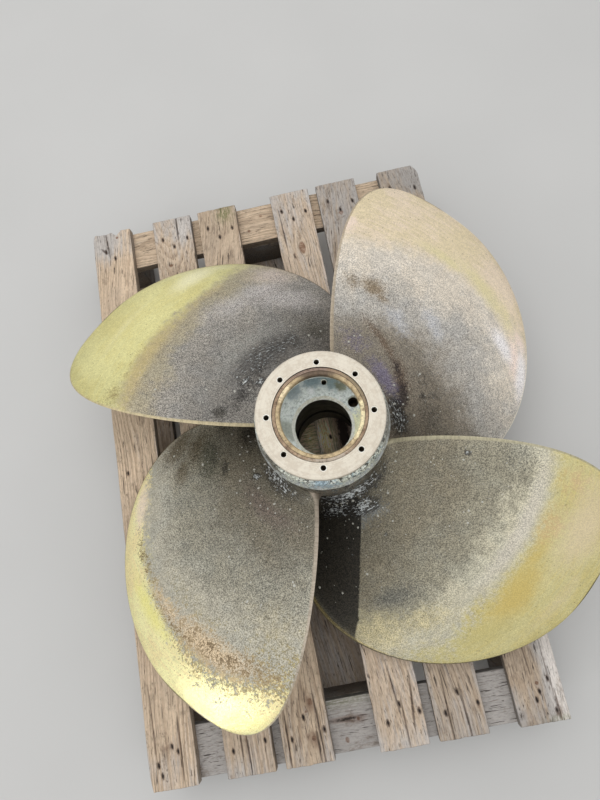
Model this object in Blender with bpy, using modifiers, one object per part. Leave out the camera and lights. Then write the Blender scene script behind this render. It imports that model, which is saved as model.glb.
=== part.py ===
"""Ship propeller, four wide skewed blades cast in one piece with the hub, on its wooden pallet.

World axes: +X to the right of the pallet, +Y along its length, +Z up. The origin is the centre of
the pallet's underside. The propeller lies with its shaft axis upright and its after face up.
"""
import math

import bmesh
import bpy

# Wooden pallet, metres
PALLET_LENGTH = 1.21
DECK_BOARD_WIDTH = 0.095
DECK_GAPS = (0.055, 0.0175, 0.085, 0.0175, 0.055)
BOARD_THICKNESS = 0.022
CROSS_BOARD_WIDTH = 0.096
CROSS_BOARD_INSET = 0.004
BLOCK_HEIGHT = 0.078
OUTER_RUNNER_WIDTH = 0.1
MIDDLE_RUNNER_WIDTH = 0.14

# Air between pieces that touch
CLEARANCE = 0.0003

# Where the propeller stands on the deck
HUB_AXIS_X = 0.0628
HUB_AXIS_Y = -0.0194

# Hub, radii and heights measured down from the after face
HUB_LENGTH = 0.326
FACE_RADIUS = 0.103
FACE_LAND_HEIGHT = 0.013
FACE_GROOVE_DEPTH = 0.003
FACE_GROOVE_HEIGHT = 0.003
COLLAR_RADIUS = 0.113
COLLAR_DEPTH = 0.064
HUB_RADIUS = 0.107
HUB_BELLY_RADIUS = 0.112
HUB_END_RADIUS = 0.108
EDGE_CHAMFER = 0.0015
HUB_SEGMENTS = 60

# Nut chamber at the after end, closed in by the seat ring
SEAT_RING_OUTER_RADIUS = 0.0757
SEAT_RING_WIDTH = 0.0122
SEAT_RING_THICKNESS = 0.012
SEAT_RING_RECESS = 0.002
SEAT_LEDGE_WIDTH = 0.006
CHAMBER_NECK_DEPTH = 0.04
CHAMBER_RADIUS = 0.088
CHAMBER_FLARE_HEIGHT = 0.018
CHAMBER_WALL_DEPTH = 0.09
CHAMBER_FLOOR_DEPTH = 0.106
BORE_RIM_CHAMFER = 0.0055

# Taper bore for the shaft, 1 in 10 on the diameter, relieved in the middle
BORE_SMALL_RADIUS = 0.0495
BORE_TAPER = 0.1
BORE_RELIEF_START = 0.165
BORE_RELIEF_END = 0.245
BORE_RELIEF = 0.003

# Tapped holes in the after face, and two holes in the chamber floor
FACE_HOLE_COUNT = 8
FACE_HOLE_CIRCLE_RADIUS = 0.0845
FACE_HOLE_RADIUS = 0.0045
FACE_HOLE_DEPTH = 0.022
FACE_HOLE_ANGLE = -7.5
DRILL_OVERSHOOT = 0.003
FLOOR_HOLES = {
    "grease_hole": {"radius": 0.009, "circle": 0.0675, "angle": 28.0, "depth": 0.045},
    "jack_hole": {"radius": 0.0045, "circle": 0.077, "angle": 77.5, "depth": 0.03},
}
HOLE_SEGMENTS = 12

# Blades. Each law is a smooth curve through its values, evenly spaced from the root to the tip.
# The rake is the height of the middle of the chord over the hub's lower end.
BLADE_COUNT = 4
PROPELLER_DIAMETER = 1.072
BLADE_ROOT_RADIUS = 0.105
BLADE_PITCH = (0.534, 0.77, 1.16)
BLADE_SKEW = (25.5, 25.1, 35.3, 51.5)
BLADE_RAKE = (0.0915, 0.1025, 0.113, 0.115)
BLADE_CHORD = (0.21, 0.494, 0.658, 0.617)
TIP_POWER = 1.82
TIP_ROUNDNESS = 0.284
TIP_CHORD = 0.03
BLADE_ROOT_THICKNESS = 0.034
BLADE_TIP_THICKNESS = 0.004
EDGE_ROOT_THICKNESS = 0.0085
EDGE_TIP_THICKNESS = 0.004
SECTION_FULLNESS = 0.8
EDGE_SQUARENESS = 10
ROOT_FILLET = 0.026
ROOT_OVERLAP = 0.016
CHORD_STEPS = 12
FILLET_STEPS = 3
FILLET_SPACING_POWER = 1.5
SPAN_STEPS = 12
TIP_SPACING_POWER = 2

# Faces that meet at more than this angle, in degrees, keep a sharp edge
SHARP_ANGLE = 35

MATERIALS = {
    "bronze_patina": {"color": (0.30, 0.26, 0.19, 1.0), "roughness": 0.5, "metallic": 0.8},
    "bronze_ring": {"color": (0.36, 0.22, 0.10, 1.0), "roughness": 0.55, "metallic": 0.6},
    "pallet_wood": {"color": (0.44, 0.36, 0.28, 1.0), "roughness": 0.85, "metallic": 0.0},
    "block_wood": {"color": (0.33, 0.26, 0.19, 1.0), "roughness": 0.9, "metallic": 0.0},
}


def pallet_width():
    """The deck boards and the gaps between them."""
    return (len(DECK_GAPS) + 1) * DECK_BOARD_WIDTH + sum(DECK_GAPS)


RUNNER_Z = 0.0
BLOCK_Z = BOARD_THICKNESS + CLEARANCE
CROSS_BOARD_Z = BLOCK_Z + BLOCK_HEIGHT + CLEARANCE
DECK_Z = CROSS_BOARD_Z + BOARD_THICKNESS + CLEARANCE
DECK_TOP_Z = DECK_Z + BOARD_THICKNESS
FACE_Z = DECK_TOP_Z + CLEARANCE + HUB_LENGTH


def clear_scene():
    for thing in list(bpy.data.objects):
        bpy.data.objects.remove(thing, do_unlink=True)


def make_collection(name):
    collection = bpy.data.collections.new(name)
    bpy.context.scene.collection.children.link(collection)
    return collection


def make_material(name):
    values = MATERIALS[name]
    material = bpy.data.materials.new(name)
    material.use_nodes = True
    shader = material.node_tree.nodes["Principled BSDF"]
    shader.inputs["Base Color"].default_value = values["color"]
    shader.inputs["Roughness"].default_value = values["roughness"]
    shader.inputs["Metallic"].default_value = values["metallic"]
    material.diffuse_color = values["color"]
    return material


def add_object(name, mesh, collection, material=None):
    thing = bpy.data.objects.new(name, mesh)
    collection.objects.link(thing)
    if material is not None:
        mesh.materials.append(material)
    return thing


def mark_as_guide(thing):
    thing.hide_render = True
    thing.display_type = "WIRE"


def add_slab(name, corner, size, collection, material):
    """A board or block from its lowest corner and its size."""
    mesh = bpy.data.meshes.new(name)
    shape = bmesh.new()
    bmesh.ops.create_cube(shape, size=1.0)
    bmesh.ops.scale(shape, vec=size, verts=shape.verts)
    shape.to_mesh(mesh)
    shape.free()
    slab = add_object(name, mesh, collection, material)
    slab.location = [low + length / 2 for low, length in zip(corner, size)]
    return slab


def add_drill(name, radius, depth_range, centre, collection):
    """An upright cylinder that cuts a hole between two heights."""
    low, high = depth_range
    mesh = bpy.data.meshes.new(name)
    shape = bmesh.new()
    bmesh.ops.create_cone(shape, cap_ends=True, segments=HOLE_SEGMENTS, radius1=radius,
                          radius2=radius, depth=high - low)
    shape.to_mesh(mesh)
    shape.free()
    drill = add_object(name, mesh, collection)
    drill.location = (centre[0], centre[1], (low + high) / 2)
    mark_as_guide(drill)
    return drill


def add_turned(name, profile, collection, material=None):
    """A ring turned about the shaft axis from a closed outline of (radius, height) points."""
    mesh = bpy.data.meshes.new(name)
    points = [(radius, 0.0, height) for radius, height in profile]
    edges = [(i, (i + 1) % len(points)) for i in range(len(points))]
    mesh.from_pydata(points, edges, [])
    turned = add_object(name, mesh, collection, material)
    turned.location = (HUB_AXIS_X, HUB_AXIS_Y, FACE_Z)
    screw = turned.modifiers.new("turn", "SCREW")
    screw.steps = HUB_SEGMENTS
    screw.render_steps = HUB_SEGMENTS
    screw.use_merge_vertices = True
    screw.merge_threshold = 0.0001
    screw.use_smooth_shade = True
    return turned


def law(values, share):
    """The smooth curve through evenly spaced values, read at a share of the span."""
    last = len(values) - 1
    total = 0.0
    for i, value in enumerate(values):
        weight = 1.0
        for j in range(len(values)):
            if j != i:
                weight *= (share - j / last) / ((i - j) / last)
        total += value * weight
    return total


def bore_radius(depth):
    """Radius of the taper at a depth below the after face."""
    return BORE_SMALL_RADIUS + (depth - CHAMBER_FLOOR_DEPTH) * BORE_TAPER / 2


def hub_profile():
    """Outline of the hub, down the outside and up the bore, heights below the after face."""
    land = FACE_LAND_HEIGHT
    groove_end = land + FACE_GROOVE_HEIGHT
    neck_radius = FACE_RADIUS - FACE_GROOVE_DEPTH
    belly_depth = (COLLAR_DEPTH + HUB_LENGTH) / 2
    seat_radius = SEAT_RING_OUTER_RADIUS + CLEARANCE
    seat_depth = SEAT_RING_RECESS + SEAT_RING_THICKNESS + CLEARANCE
    ledge_radius = seat_radius - SEAT_LEDGE_WIDTH
    rim_radius = BORE_SMALL_RADIUS + BORE_RIM_CHAMFER
    outside = [
        (FACE_RADIUS - EDGE_CHAMFER, 0.0),
        (FACE_RADIUS, -EDGE_CHAMFER),
        (FACE_RADIUS, -land),
        (neck_radius, -land - EDGE_CHAMFER),
        (neck_radius, -groove_end),
        (COLLAR_RADIUS - 2 * FACE_GROOVE_DEPTH, -groove_end - 2 * FACE_GROOVE_HEIGHT),
        (COLLAR_RADIUS, -COLLAR_DEPTH),
        (HUB_RADIUS, -COLLAR_DEPTH - 2 * FACE_GROOVE_HEIGHT),
        (HUB_BELLY_RADIUS, -belly_depth),
        (HUB_END_RADIUS, -HUB_LENGTH + EDGE_CHAMFER),
        (HUB_END_RADIUS - EDGE_CHAMFER, -HUB_LENGTH),
    ]
    bore = [
        (bore_radius(HUB_LENGTH) + EDGE_CHAMFER, -HUB_LENGTH),
        (bore_radius(HUB_LENGTH), -HUB_LENGTH + EDGE_CHAMFER),
        (bore_radius(BORE_RELIEF_END), -BORE_RELIEF_END),
        (bore_radius(BORE_RELIEF_END) + BORE_RELIEF, -BORE_RELIEF_END + BORE_RELIEF),
        (bore_radius(BORE_RELIEF_START) + BORE_RELIEF, -BORE_RELIEF_START - BORE_RELIEF),
        (bore_radius(BORE_RELIEF_START), -BORE_RELIEF_START),
        (BORE_SMALL_RADIUS, -CHAMBER_FLOOR_DEPTH - BORE_RIM_CHAMFER),
    ]
    chamber = [
        (rim_radius, -CHAMBER_FLOOR_DEPTH),
        (CHAMBER_RADIUS, -CHAMBER_WALL_DEPTH),
        (CHAMBER_RADIUS, -CHAMBER_NECK_DEPTH - CHAMBER_FLARE_HEIGHT),
        (ledge_radius, -CHAMBER_NECK_DEPTH),
        (ledge_radius, -seat_depth),
        (seat_radius, -seat_depth),
        (seat_radius, 0.0),
    ]
    return outside + bore + chamber


def seat_ring_profile():
    """Outline of the seat ring in its recess."""
    top = -SEAT_RING_RECESS
    low = top - SEAT_RING_THICKNESS
    inner = SEAT_RING_OUTER_RADIUS - SEAT_RING_WIDTH
    return [
        (SEAT_RING_OUTER_RADIUS - EDGE_CHAMFER, top),
        (SEAT_RING_OUTER_RADIUS, top - EDGE_CHAMFER),
        (SEAT_RING_OUTER_RADIUS, low),
        (inner, low),
        (inner, top - EDGE_CHAMFER),
        (inner + EDGE_CHAMFER, top),
    ]


def blade_radii():
    """Stations along the span: inside the hub, through the root fillet, then closer to the tip."""
    tip = PROPELLER_DIAMETER / 2
    radii = [HUB_RADIUS - ROOT_OVERLAP]
    for step in range(FILLET_STEPS + 1):
        radii.append(HUB_BELLY_RADIUS + ROOT_FILLET * (step / FILLET_STEPS) ** FILLET_SPACING_POWER)
    start = radii[-1]
    for step in range(1, SPAN_STEPS + 1):
        share = 1 - (1 - step / SPAN_STEPS) ** TIP_SPACING_POWER
        radii.append(start + (tip - start) * share)
    return radii


def chord_at(share):
    """Chord of the blade: its law, drawn in to a round tip."""
    inner = max(share, 0.0)
    rounded = max(1 - inner ** TIP_POWER, 0.0) ** TIP_ROUNDNESS
    return max(law(BLADE_CHORD, share) * rounded, TIP_CHORD)


def fillet_swell(radius):
    """How far the blade swells on each face where it runs into the hub, a quarter circle."""
    height = min(max(radius - HUB_BELLY_RADIUS, 0.0), ROOT_FILLET)
    gap = ROOT_FILLET - height
    return ROOT_FILLET - math.sqrt(ROOT_FILLET ** 2 - gap ** 2)


def blade_section(radius):
    """One section on its cylinder, as two rows of points from the leading to the trailing edge."""
    tip = PROPELLER_DIAMETER / 2
    share = (radius - BLADE_ROOT_RADIUS) / (tip - BLADE_ROOT_RADIUS)
    span = min(max(share, 0.0), 1.0)
    pitch_angle = math.atan2(law(BLADE_PITCH, share), 2 * math.pi * radius)
    skew = math.radians(law(BLADE_SKEW, share))
    rake = law(BLADE_RAKE, share)
    chord = chord_at(share)
    thickness = BLADE_ROOT_THICKNESS + (BLADE_TIP_THICKNESS - BLADE_ROOT_THICKNESS) * span
    edge = EDGE_ROOT_THICKNESS + (EDGE_TIP_THICKNESS - EDGE_ROOT_THICKNESS) * span
    swell = fillet_swell(radius)
    pressure, suction = [], []
    for step in range(CHORD_STEPS + 1):
        across = (1 - math.cos(math.pi * step / CHORD_STEPS)) / 2
        body = (4 * across * (1 - across)) ** SECTION_FULLNESS
        edge_round = math.sqrt(1 - abs(2 * across - 1) ** EDGE_SQUARENESS)
        upper = edge / 2 * (1 - edge_round) - swell * edge_round
        lower = edge / 2 * (1 + edge_round) + (thickness - edge) * body + swell * edge_round
        along = (across - 0.5) * chord
        for offset, row in ((upper, pressure), (lower, suction)):
            turn = skew + (along * math.cos(pitch_angle) + offset * math.sin(pitch_angle)) / radius
            height = rake + along * math.sin(pitch_angle) - offset * math.cos(pitch_angle)
            row.append((radius * math.cos(turn), radius * math.sin(turn), height))
    return pressure, suction


def blade_mesh(name):
    """A closed loft through the sections, with the round tip and the buried root closed."""
    points, faces, rows = [], [], []
    for radius in blade_radii():
        pressure, suction = blade_section(radius)
        start = len(points)
        points += pressure + suction[1:-1][::-1]
        rows.append(start)
    ring = 2 * CHORD_STEPS
    for low, high in zip(rows, rows[1:]):
        for i in range(ring):
            j = (i + 1) % ring
            faces.append((low + i, low + j, high + j, high + i))
    for start, outward in ((rows[0], False), (rows[-1], True)):
        for i in range(CHORD_STEPS):
            corners = [start + i, start + i + 1, start + (ring - i - 1) % ring, start + (ring - i) % ring]
            corners = list(dict.fromkeys(corners))
            faces.append(tuple(corners if outward else corners[::-1]))
    mesh = bpy.data.meshes.new(name)
    mesh.from_pydata(points, [], faces)
    shape = bmesh.new()
    shape.from_mesh(mesh)
    bmesh.ops.triangulate(shape, faces=shape.faces)
    bmesh.ops.recalc_face_normals(shape, faces=shape.faces)
    shape.to_mesh(mesh)
    shape.free()
    mesh.shade_smooth()
    mesh.set_sharp_from_angle(angle=math.radians(SHARP_ANGLE))
    return mesh


def add_boolean(thing, tool, operation):
    boolean = thing.modifiers.new(tool.name, "BOOLEAN")
    boolean.operation = operation
    boolean.solver = "EXACT"
    boolean.object = tool


def on_circle(circle_radius, angle):
    """A place round the shaft axis, the angle in degrees from +X."""
    turn = math.radians(angle)
    return HUB_AXIS_X + circle_radius * math.cos(turn), HUB_AXIS_Y + circle_radius * math.sin(turn)


def build_casting(collection, guides, material):
    """Hub, blades and holes, one casting."""
    casting = add_turned("propeller_casting", hub_profile(), collection, material)
    mesh = blade_mesh("blade_loft")
    for index in range(BLADE_COUNT):
        blade = add_object(f"blade_loft_{index + 1}", mesh, guides)
        blade.location = (HUB_AXIS_X, HUB_AXIS_Y, FACE_Z - HUB_LENGTH)
        blade.rotation_euler = (0.0, 0.0, 2 * math.pi * index / BLADE_COUNT)
        mark_as_guide(blade)
        add_boolean(casting, blade, "UNION")
    above = FACE_Z + DRILL_OVERSHOOT
    for index in range(FACE_HOLE_COUNT):
        centre = on_circle(FACE_HOLE_CIRCLE_RADIUS, FACE_HOLE_ANGLE + 360 * index / FACE_HOLE_COUNT)
        drill = add_drill(f"face_hole_{index + 1}", FACE_HOLE_RADIUS,
                          (FACE_Z - FACE_HOLE_DEPTH, above), centre, guides)
        add_boolean(casting, drill, "DIFFERENCE")
    for name, hole in FLOOR_HOLES.items():
        reach = (FACE_Z - CHAMBER_WALL_DEPTH - hole["depth"],
                 FACE_Z - CHAMBER_NECK_DEPTH - CHAMBER_FLARE_HEIGHT)
        drill = add_drill(name, hole["radius"], reach, on_circle(hole["circle"], hole["angle"]), guides)
        add_boolean(casting, drill, "DIFFERENCE")
    return casting


def build_pallet(collection, board_material, block_material):
    """Runners, blocks, cross boards and deck boards, from the ground up."""
    width = pallet_width()
    runner_widths = (OUTER_RUNNER_WIDTH, MIDDLE_RUNNER_WIDTH, OUTER_RUNNER_WIDTH)
    runner_lefts = (-width / 2, -MIDDLE_RUNNER_WIDTH / 2, width / 2 - OUTER_RUNNER_WIDTH)
    row_length = PALLET_LENGTH - 2 * CROSS_BOARD_INSET
    row_fronts = (-row_length / 2, -CROSS_BOARD_WIDTH / 2, row_length / 2 - CROSS_BOARD_WIDTH)
    for side, left, wide in zip(("left", "middle", "right"), runner_lefts, runner_widths):
        add_slab(f"runner_{side}", (left, -row_length / 2, RUNNER_Z),
                 (wide, row_length, BOARD_THICKNESS), collection, board_material)
        for row, front in zip(("near", "centre", "far"), row_fronts):
            add_slab(f"block_{row}_{side}", (left, front, BLOCK_Z),
                     (wide, CROSS_BOARD_WIDTH, BLOCK_HEIGHT), collection, block_material)
    for row, front in zip(("near", "centre", "far"), row_fronts):
        add_slab(f"cross_board_{row}", (-width / 2, front, CROSS_BOARD_Z),
                 (width, CROSS_BOARD_WIDTH, BOARD_THICKNESS), collection, board_material)
    left = -width / 2
    for index, gap in enumerate(DECK_GAPS + (0.0,)):
        add_slab(f"deck_board_{index + 1}", (left, -PALLET_LENGTH / 2, DECK_Z),
                 (DECK_BOARD_WIDTH, PALLET_LENGTH, BOARD_THICKNESS), collection, board_material)
        left += DECK_BOARD_WIDTH + gap


def main():
    clear_scene()
    propeller = make_collection("ship_propeller_on_pallet")
    guides = make_collection("guides")
    materials = {name: make_material(name) for name in MATERIALS}
    build_pallet(propeller, materials["pallet_wood"], materials["block_wood"])
    build_casting(propeller, guides, materials["bronze_patina"])
    add_turned("seat_ring", seat_ring_profile(), propeller, materials["bronze_ring"])


main()
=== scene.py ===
# Looks of a bronze ship propeller that lies on its wooden pallet: tarnished blades with polished tips,
# a machined hub face, and weathered pine boards with their nails.
import math

import bpy
import numpy as np
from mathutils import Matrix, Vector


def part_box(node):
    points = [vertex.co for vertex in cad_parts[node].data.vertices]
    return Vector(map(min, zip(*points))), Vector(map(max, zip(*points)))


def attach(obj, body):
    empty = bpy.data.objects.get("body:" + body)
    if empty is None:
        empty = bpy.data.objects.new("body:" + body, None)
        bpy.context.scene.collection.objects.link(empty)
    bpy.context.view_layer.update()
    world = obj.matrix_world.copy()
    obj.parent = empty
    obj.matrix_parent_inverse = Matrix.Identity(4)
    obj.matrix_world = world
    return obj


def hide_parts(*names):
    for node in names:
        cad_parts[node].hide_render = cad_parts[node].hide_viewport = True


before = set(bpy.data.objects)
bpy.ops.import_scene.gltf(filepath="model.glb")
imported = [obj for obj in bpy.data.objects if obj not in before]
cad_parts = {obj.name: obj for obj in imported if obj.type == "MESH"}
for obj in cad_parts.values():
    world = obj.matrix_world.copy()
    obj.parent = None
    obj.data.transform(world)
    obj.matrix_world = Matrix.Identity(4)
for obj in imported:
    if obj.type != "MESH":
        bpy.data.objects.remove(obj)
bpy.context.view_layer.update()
bpy.context.scene.view_settings.view_transform = "Standard"
print("frame loaded")


# Numbers and noise

cloudTable = 4096  # how many random numbers a cloud draws
cloudStrides = np.array((73, 1291, 2753))  # steps through them along each axis of its lattice
ovalDefaults = (1.0, 0)  # the strength, and the turn in degrees, of an oval that leaves them out


def tone(red, green, blue):
    # A screen colour from 0 to 255 as the linear values that shaders take.
    shares = [value / 255 for value in (red, green, blue)]
    return tuple(s / 12.92 if s <= 0.04045 else ((s + 0.055) / 1.055) ** 2.4 for s in shares)


def ease(value, low, high):
    # Runs smoothly from 0 at low to 1 at high.
    share = np.clip((value - low) / (high - low), 0, 1)
    return share * share * (3 - 2 * share)


def between(first, last, share):
    # The value a share of the way from first to last.
    return first + (last - first) * share


def cloud(points, size, seed):
    # Smooth random hills from 0 to 1: random numbers on a cubic lattice, eased between its corners.
    table = np.random.default_rng(seed).random(cloudTable)
    spots = np.asarray(points) / size
    cell = np.floor(spots).astype(np.int64)
    share = ease(spots - cell, 0, 1)
    total = 0
    for corner in np.ndindex(2, 2, 2):
        index = (cell + corner) @ cloudStrides
        total = total + table[index % cloudTable] * np.prod(np.where(corner, share, 1 - share), axis=-1)
    return total


def smoothLaw(values, share):
    # The curve through evenly spaced values: each value times its Lagrange weight.
    last = len(values) - 1
    total = 0
    for i, value in enumerate(values):
        weight = 1
        for j in range(last + 1):
            if j != i:
                weight = weight * (share - j / last) / ((i - j) / last)
        total = total + value * weight
    return total


def spread(ovals, across, along):
    # Soft patches: each a bell curve about its centre, turned in the plane, and the strongest one counts.
    total = np.zeros(np.broadcast(across, along).shape)
    for centreAcross, centreAlong, sizeAcross, sizeAlong, *rest in ovals:
        strength, turn = (*rest, *ovalDefaults[len(rest):])
        lean = math.radians(turn)
        aside, ahead = across - centreAcross, along - centreAlong
        first = (aside * math.cos(lean) + ahead * math.sin(lean)) / sizeAcross
        second = (ahead * math.cos(lean) - aside * math.sin(lean)) / sizeAlong
        total = np.maximum(total, strength * np.exp(-(first * first + second * second) / 2))
    return total


# Meshes from grids of points

def signedVolume(points, quads):
    # Sum over the faces of their corner's product with the area vector: positive where faces point outwards.
    a, b, c, d = (points[quads[:, i]] for i in range(4))
    return float(np.sum(a * np.cross(c - a, d - b)))


def circleAngles(count):
    # Evenly spaced angles round a full turn.
    return np.arange(count) * 2 * math.pi / count


def polar(radius, angle, height):
    # Points at a radius, an angle and a height about the upright axis.
    return np.stack(np.broadcast_arrays(radius * np.cos(angle), radius * np.sin(angle), height), -1)


def ringQuads(rings, around):
    # Faces between neighbouring rings of a grid whose rings are closed.
    i, j = np.meshgrid(np.arange(rings - 1) * around, np.arange(around), indexing="ij")
    k = (j + 1) % around
    return np.stack((i + j, i + k, i + around + k, i + around + j), -1).reshape(-1, 4)


def ladderQuads(start, around):
    # Faces that close a ring made of two rows of equal length, rung by rung.
    i = np.arange(around // 2 - 1)
    return start + np.stack((i, around - 1 - i, around - 2 - i, i + 1), -1)


def tubeQuads(rings, around):
    # Faces of a closed tube: its rings, and its first and last ring closed rung by rung.
    ends = ladderQuads(0, around), ladderQuads((rings - 1) * around, around)[:, ::-1]
    return np.concatenate((ringQuads(rings, around), *ends))


def copiedQuads(quads, points, copies):
    # The faces of one shape, repeated for each copy of its points.
    return (quads + points * np.arange(copies)[:, None, None]).reshape(-1, 4)


def addObject(name, data):
    # Puts a mesh, lamp or camera in the scene.
    made = bpy.data.objects.new(name, data)
    bpy.context.scene.collection.objects.link(made)
    return made


def addMesh(name, points, quads, finishes, which=None, sharp=None):
    # Puts points and four-cornered faces in a mesh of its own, turned outwards as a whole.
    points = np.ascontiguousarray(points.reshape(-1, 3), dtype=np.float64)
    if signedVolume(points, quads) < 0:
        quads = quads[:, ::-1]
    mesh = bpy.data.meshes.new(name)
    mesh.vertices.add(len(points))
    mesh.vertices.foreach_set("co", points.ravel())
    mesh.loops.add(quads.size)
    mesh.loops.foreach_set("vertex_index", quads.ravel().astype(np.int32))
    mesh.polygons.add(len(quads))
    mesh.polygons.foreach_set("loop_start", np.arange(0, quads.size, 4, dtype=np.int32))
    mesh.update(calc_edges=True)
    for finish in finishes:
        mesh.materials.append(finish)
    if which is not None:
        mesh.polygons.foreach_set("material_index", which.astype(np.int32))
    mesh.polygons.foreach_set("use_smooth", np.full(len(quads), True))
    if sharp is not None:
        mesh.set_sharp_from_angle(angle=math.radians(sharp))
    mesh.validate()
    return addObject(name, mesh)


def tagPoints(piece, **values):
    # Keeps three numbers a point for the finish to read.
    for name, columns in values.items():
        layer = piece.data.attributes.new(name, "FLOAT_VECTOR", "POINT")
        table = np.stack(np.broadcast_arrays(*columns), -1)
        layer.data.foreach_set("vector", np.ascontiguousarray(table, dtype=np.float32).ravel())


def keep(piece, slot, *nodes):
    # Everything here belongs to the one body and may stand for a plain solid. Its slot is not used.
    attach(piece, "root")
    if nodes:
        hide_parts(*nodes)
    return piece


# Finishes

class Wire:
    # One output of a finish's nodes. Arithmetic on it adds Math nodes, with a plain number on either side.
    def __init__(self, finish, socket):
        self.finish = finish
        self.socket = socket

    def join(self, operation, first, second):
        return self.finish.node("ShaderNodeMath", {"operation": operation}, {0: first, 1: second})

    def __add__(self, other):
        return self.join("ADD", self, other)

    def __sub__(self, other):
        return self.join("SUBTRACT", self, other)

    def __rsub__(self, other):
        return self.join("SUBTRACT", other, self)

    def __mul__(self, other):
        return self.join("MULTIPLY", self, other)

    def __truediv__(self, other):
        return self.join("DIVIDE", self, other)

    __radd__ = __add__
    __rmul__ = __mul__


class Finish:
    # A material or a world in the making, with a few words for the nodes that it uses most.
    def __init__(self, name, kind="materials"):
        self.holder = getattr(bpy.data, kind).new(name)
        self.holder.use_nodes = True
        self.tree = self.holder.node_tree

    def node(self, kind, settings=None, inputs=None, output=0):
        made = self.tree.nodes.new(kind)
        for key, value in (settings or {}).items():
            setattr(made, key, value)
        self.feed(made, inputs or {})
        return Wire(self, made.outputs[output])

    def feed(self, made, inputs):
        for key, value in inputs.items():
            socket = made.inputs[key]
            if isinstance(value, Wire):
                self.tree.links.new(value.socket, socket)
            elif socket.type == "RGBA":
                socket.default_value = (*value, 1.0)
            else:
                socket.default_value = value

    def place(self):
        # Object coordinates, in metres.
        return self.node("ShaderNodeTexCoord", output=3)

    def tagged(self, name):
        # Three numbers kept in the mesh by tagPoints.
        return self.node("ShaderNodeAttribute", {"attribute_name": name}, output=1)

    def split(self, vector):
        parts = self.node("ShaderNodeSeparateXYZ", inputs={0: vector})
        return tuple(Wire(self, parts.socket.node.outputs[i]) for i in range(3))

    def combine(self, *parts):
        return self.node("ShaderNodeCombineXYZ", inputs=dict(enumerate(parts)))

    def length(self, vector):
        return self.node("ShaderNodeVectorMath", {"operation": "LENGTH"}, {0: vector}, 1)

    def stretch(self, vector, factors):
        return self.node("ShaderNodeVectorMath", {"operation": "MULTIPLY"}, {0: vector, 1: factors})

    def shift(self, vector, offset):
        return self.node("ShaderNodeVectorMath", {"operation": "ADD"}, {0: vector, 1: offset})

    def noise(self, where, size, detail=2.0, rough=0.5, twist=0.0):
        inputs = {"Vector": where, "Scale": 1 / size, "Detail": detail, "Roughness": rough,
                  "Distortion": twist}
        return self.node("ShaderNodeTexNoise", inputs=inputs)

    def bloom(self, colour, where, blooms, drifts, spots):
        # Lays patches of (tone, x, y, z, reach) over a colour, with edges broken by two noises.
        for tint, x, y, z, reach in blooms:
            far = self.length(self.shift(where, (-x, -y, -z)))
            near = self.ramp(far * (1 / reach) + (drifts - 0.5) * 2.2 + (spots - 0.5) * 1.2, 1.1, 0.4)
            colour = self.mix(colour, tint, near * 0.85)
        return colour

    def ramp(self, value, low, high, start=0.0, end=1.0):
        # Runs smoothly from start at low to end at high.
        inputs = {"Value": value, "From Min": low, "From Max": high, "To Min": start, "To Max": end}
        return self.node("ShaderNodeMapRange", {"interpolation_type": "SMOOTHSTEP"}, inputs)

    def mix(self, first, second, share):
        return self.node("ShaderNodeMix", {"data_type": "RGBA"}, {0: share, 6: first, 7: second}, 2)

    def lay(self, colour, *coats):
        # Lays coats of (tone, share) over a colour, one after another.
        for paint, share in coats:
            colour = self.mix(colour, paint, share)
        return colour

    def shade(self, colour, share):
        # Scales a colour, darker below 1 and lighter above.
        return self.node("ShaderNodeVectorMath", {"operation": "SCALE"}, {0: colour, "Scale": share})

    def bump(self, height, depth):
        return self.node("ShaderNodeBump", inputs={"Height": height, "Distance": depth, "Strength": 1.0})

    def close(self, **sockets):
        names = {"colour": "Base Color", "roughness": "Roughness", "metal": "Metallic", "normal": "Normal"}
        self.feed(self.tree.nodes["Principled BSDF"], {names[key]: value for key, value in sockets.items()})
        return self.holder


# Camera, floor and light

viewSettings = {
    "place": (0.07536, -0.20810, 1.30962),
    "turnDegrees": (13.7196, 5.3417, -10.7774),
    "lens": 24.857,
    "sensor": 36.0,
}


def addCamera():
    s = viewSettings
    camera = addObject("camera", bpy.data.cameras.new("camera"))
    camera.location = s["place"]
    camera.rotation_euler = [math.radians(angle) for angle in s["turnDegrees"]]
    camera.data.lens, camera.data.sensor_width = s["lens"], s["sensor"]
    bpy.context.scene.camera = camera


stageSettings = {
    "drop": 0.001,
    "innerShare": 0.02,
    "driftSize": 0.4,
    "flatRadius": 3.4,
    "coveRadius": 5.6,
    "coveHeight": 0.8,
    "steps": 24,
    "around": 96,
    "floorTone": tone(200, 199, 196),
    "worldTop": tone(252, 253, 255),
    "worldRim": tone(244, 245, 247),
    "worldStrength": 0.82,
}

lightSettings = {
    "overhead": {"place": (-0.2, 0.5, 2.9), "aim": (0.0, 0.0, 0.2), "size": 2.6, "power": 24.0},
    "left": {"place": (-2.45, -1.28, 1.42), "aim": (-0.19, -0.44, 0.3), "size": 0.36, "power": 4.6},
    "far": {"place": (-0.9, 3.3, 1.15), "aim": (-0.2, 0.3, 0.25), "size": 2.2, "power": 5.0},
}


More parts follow.
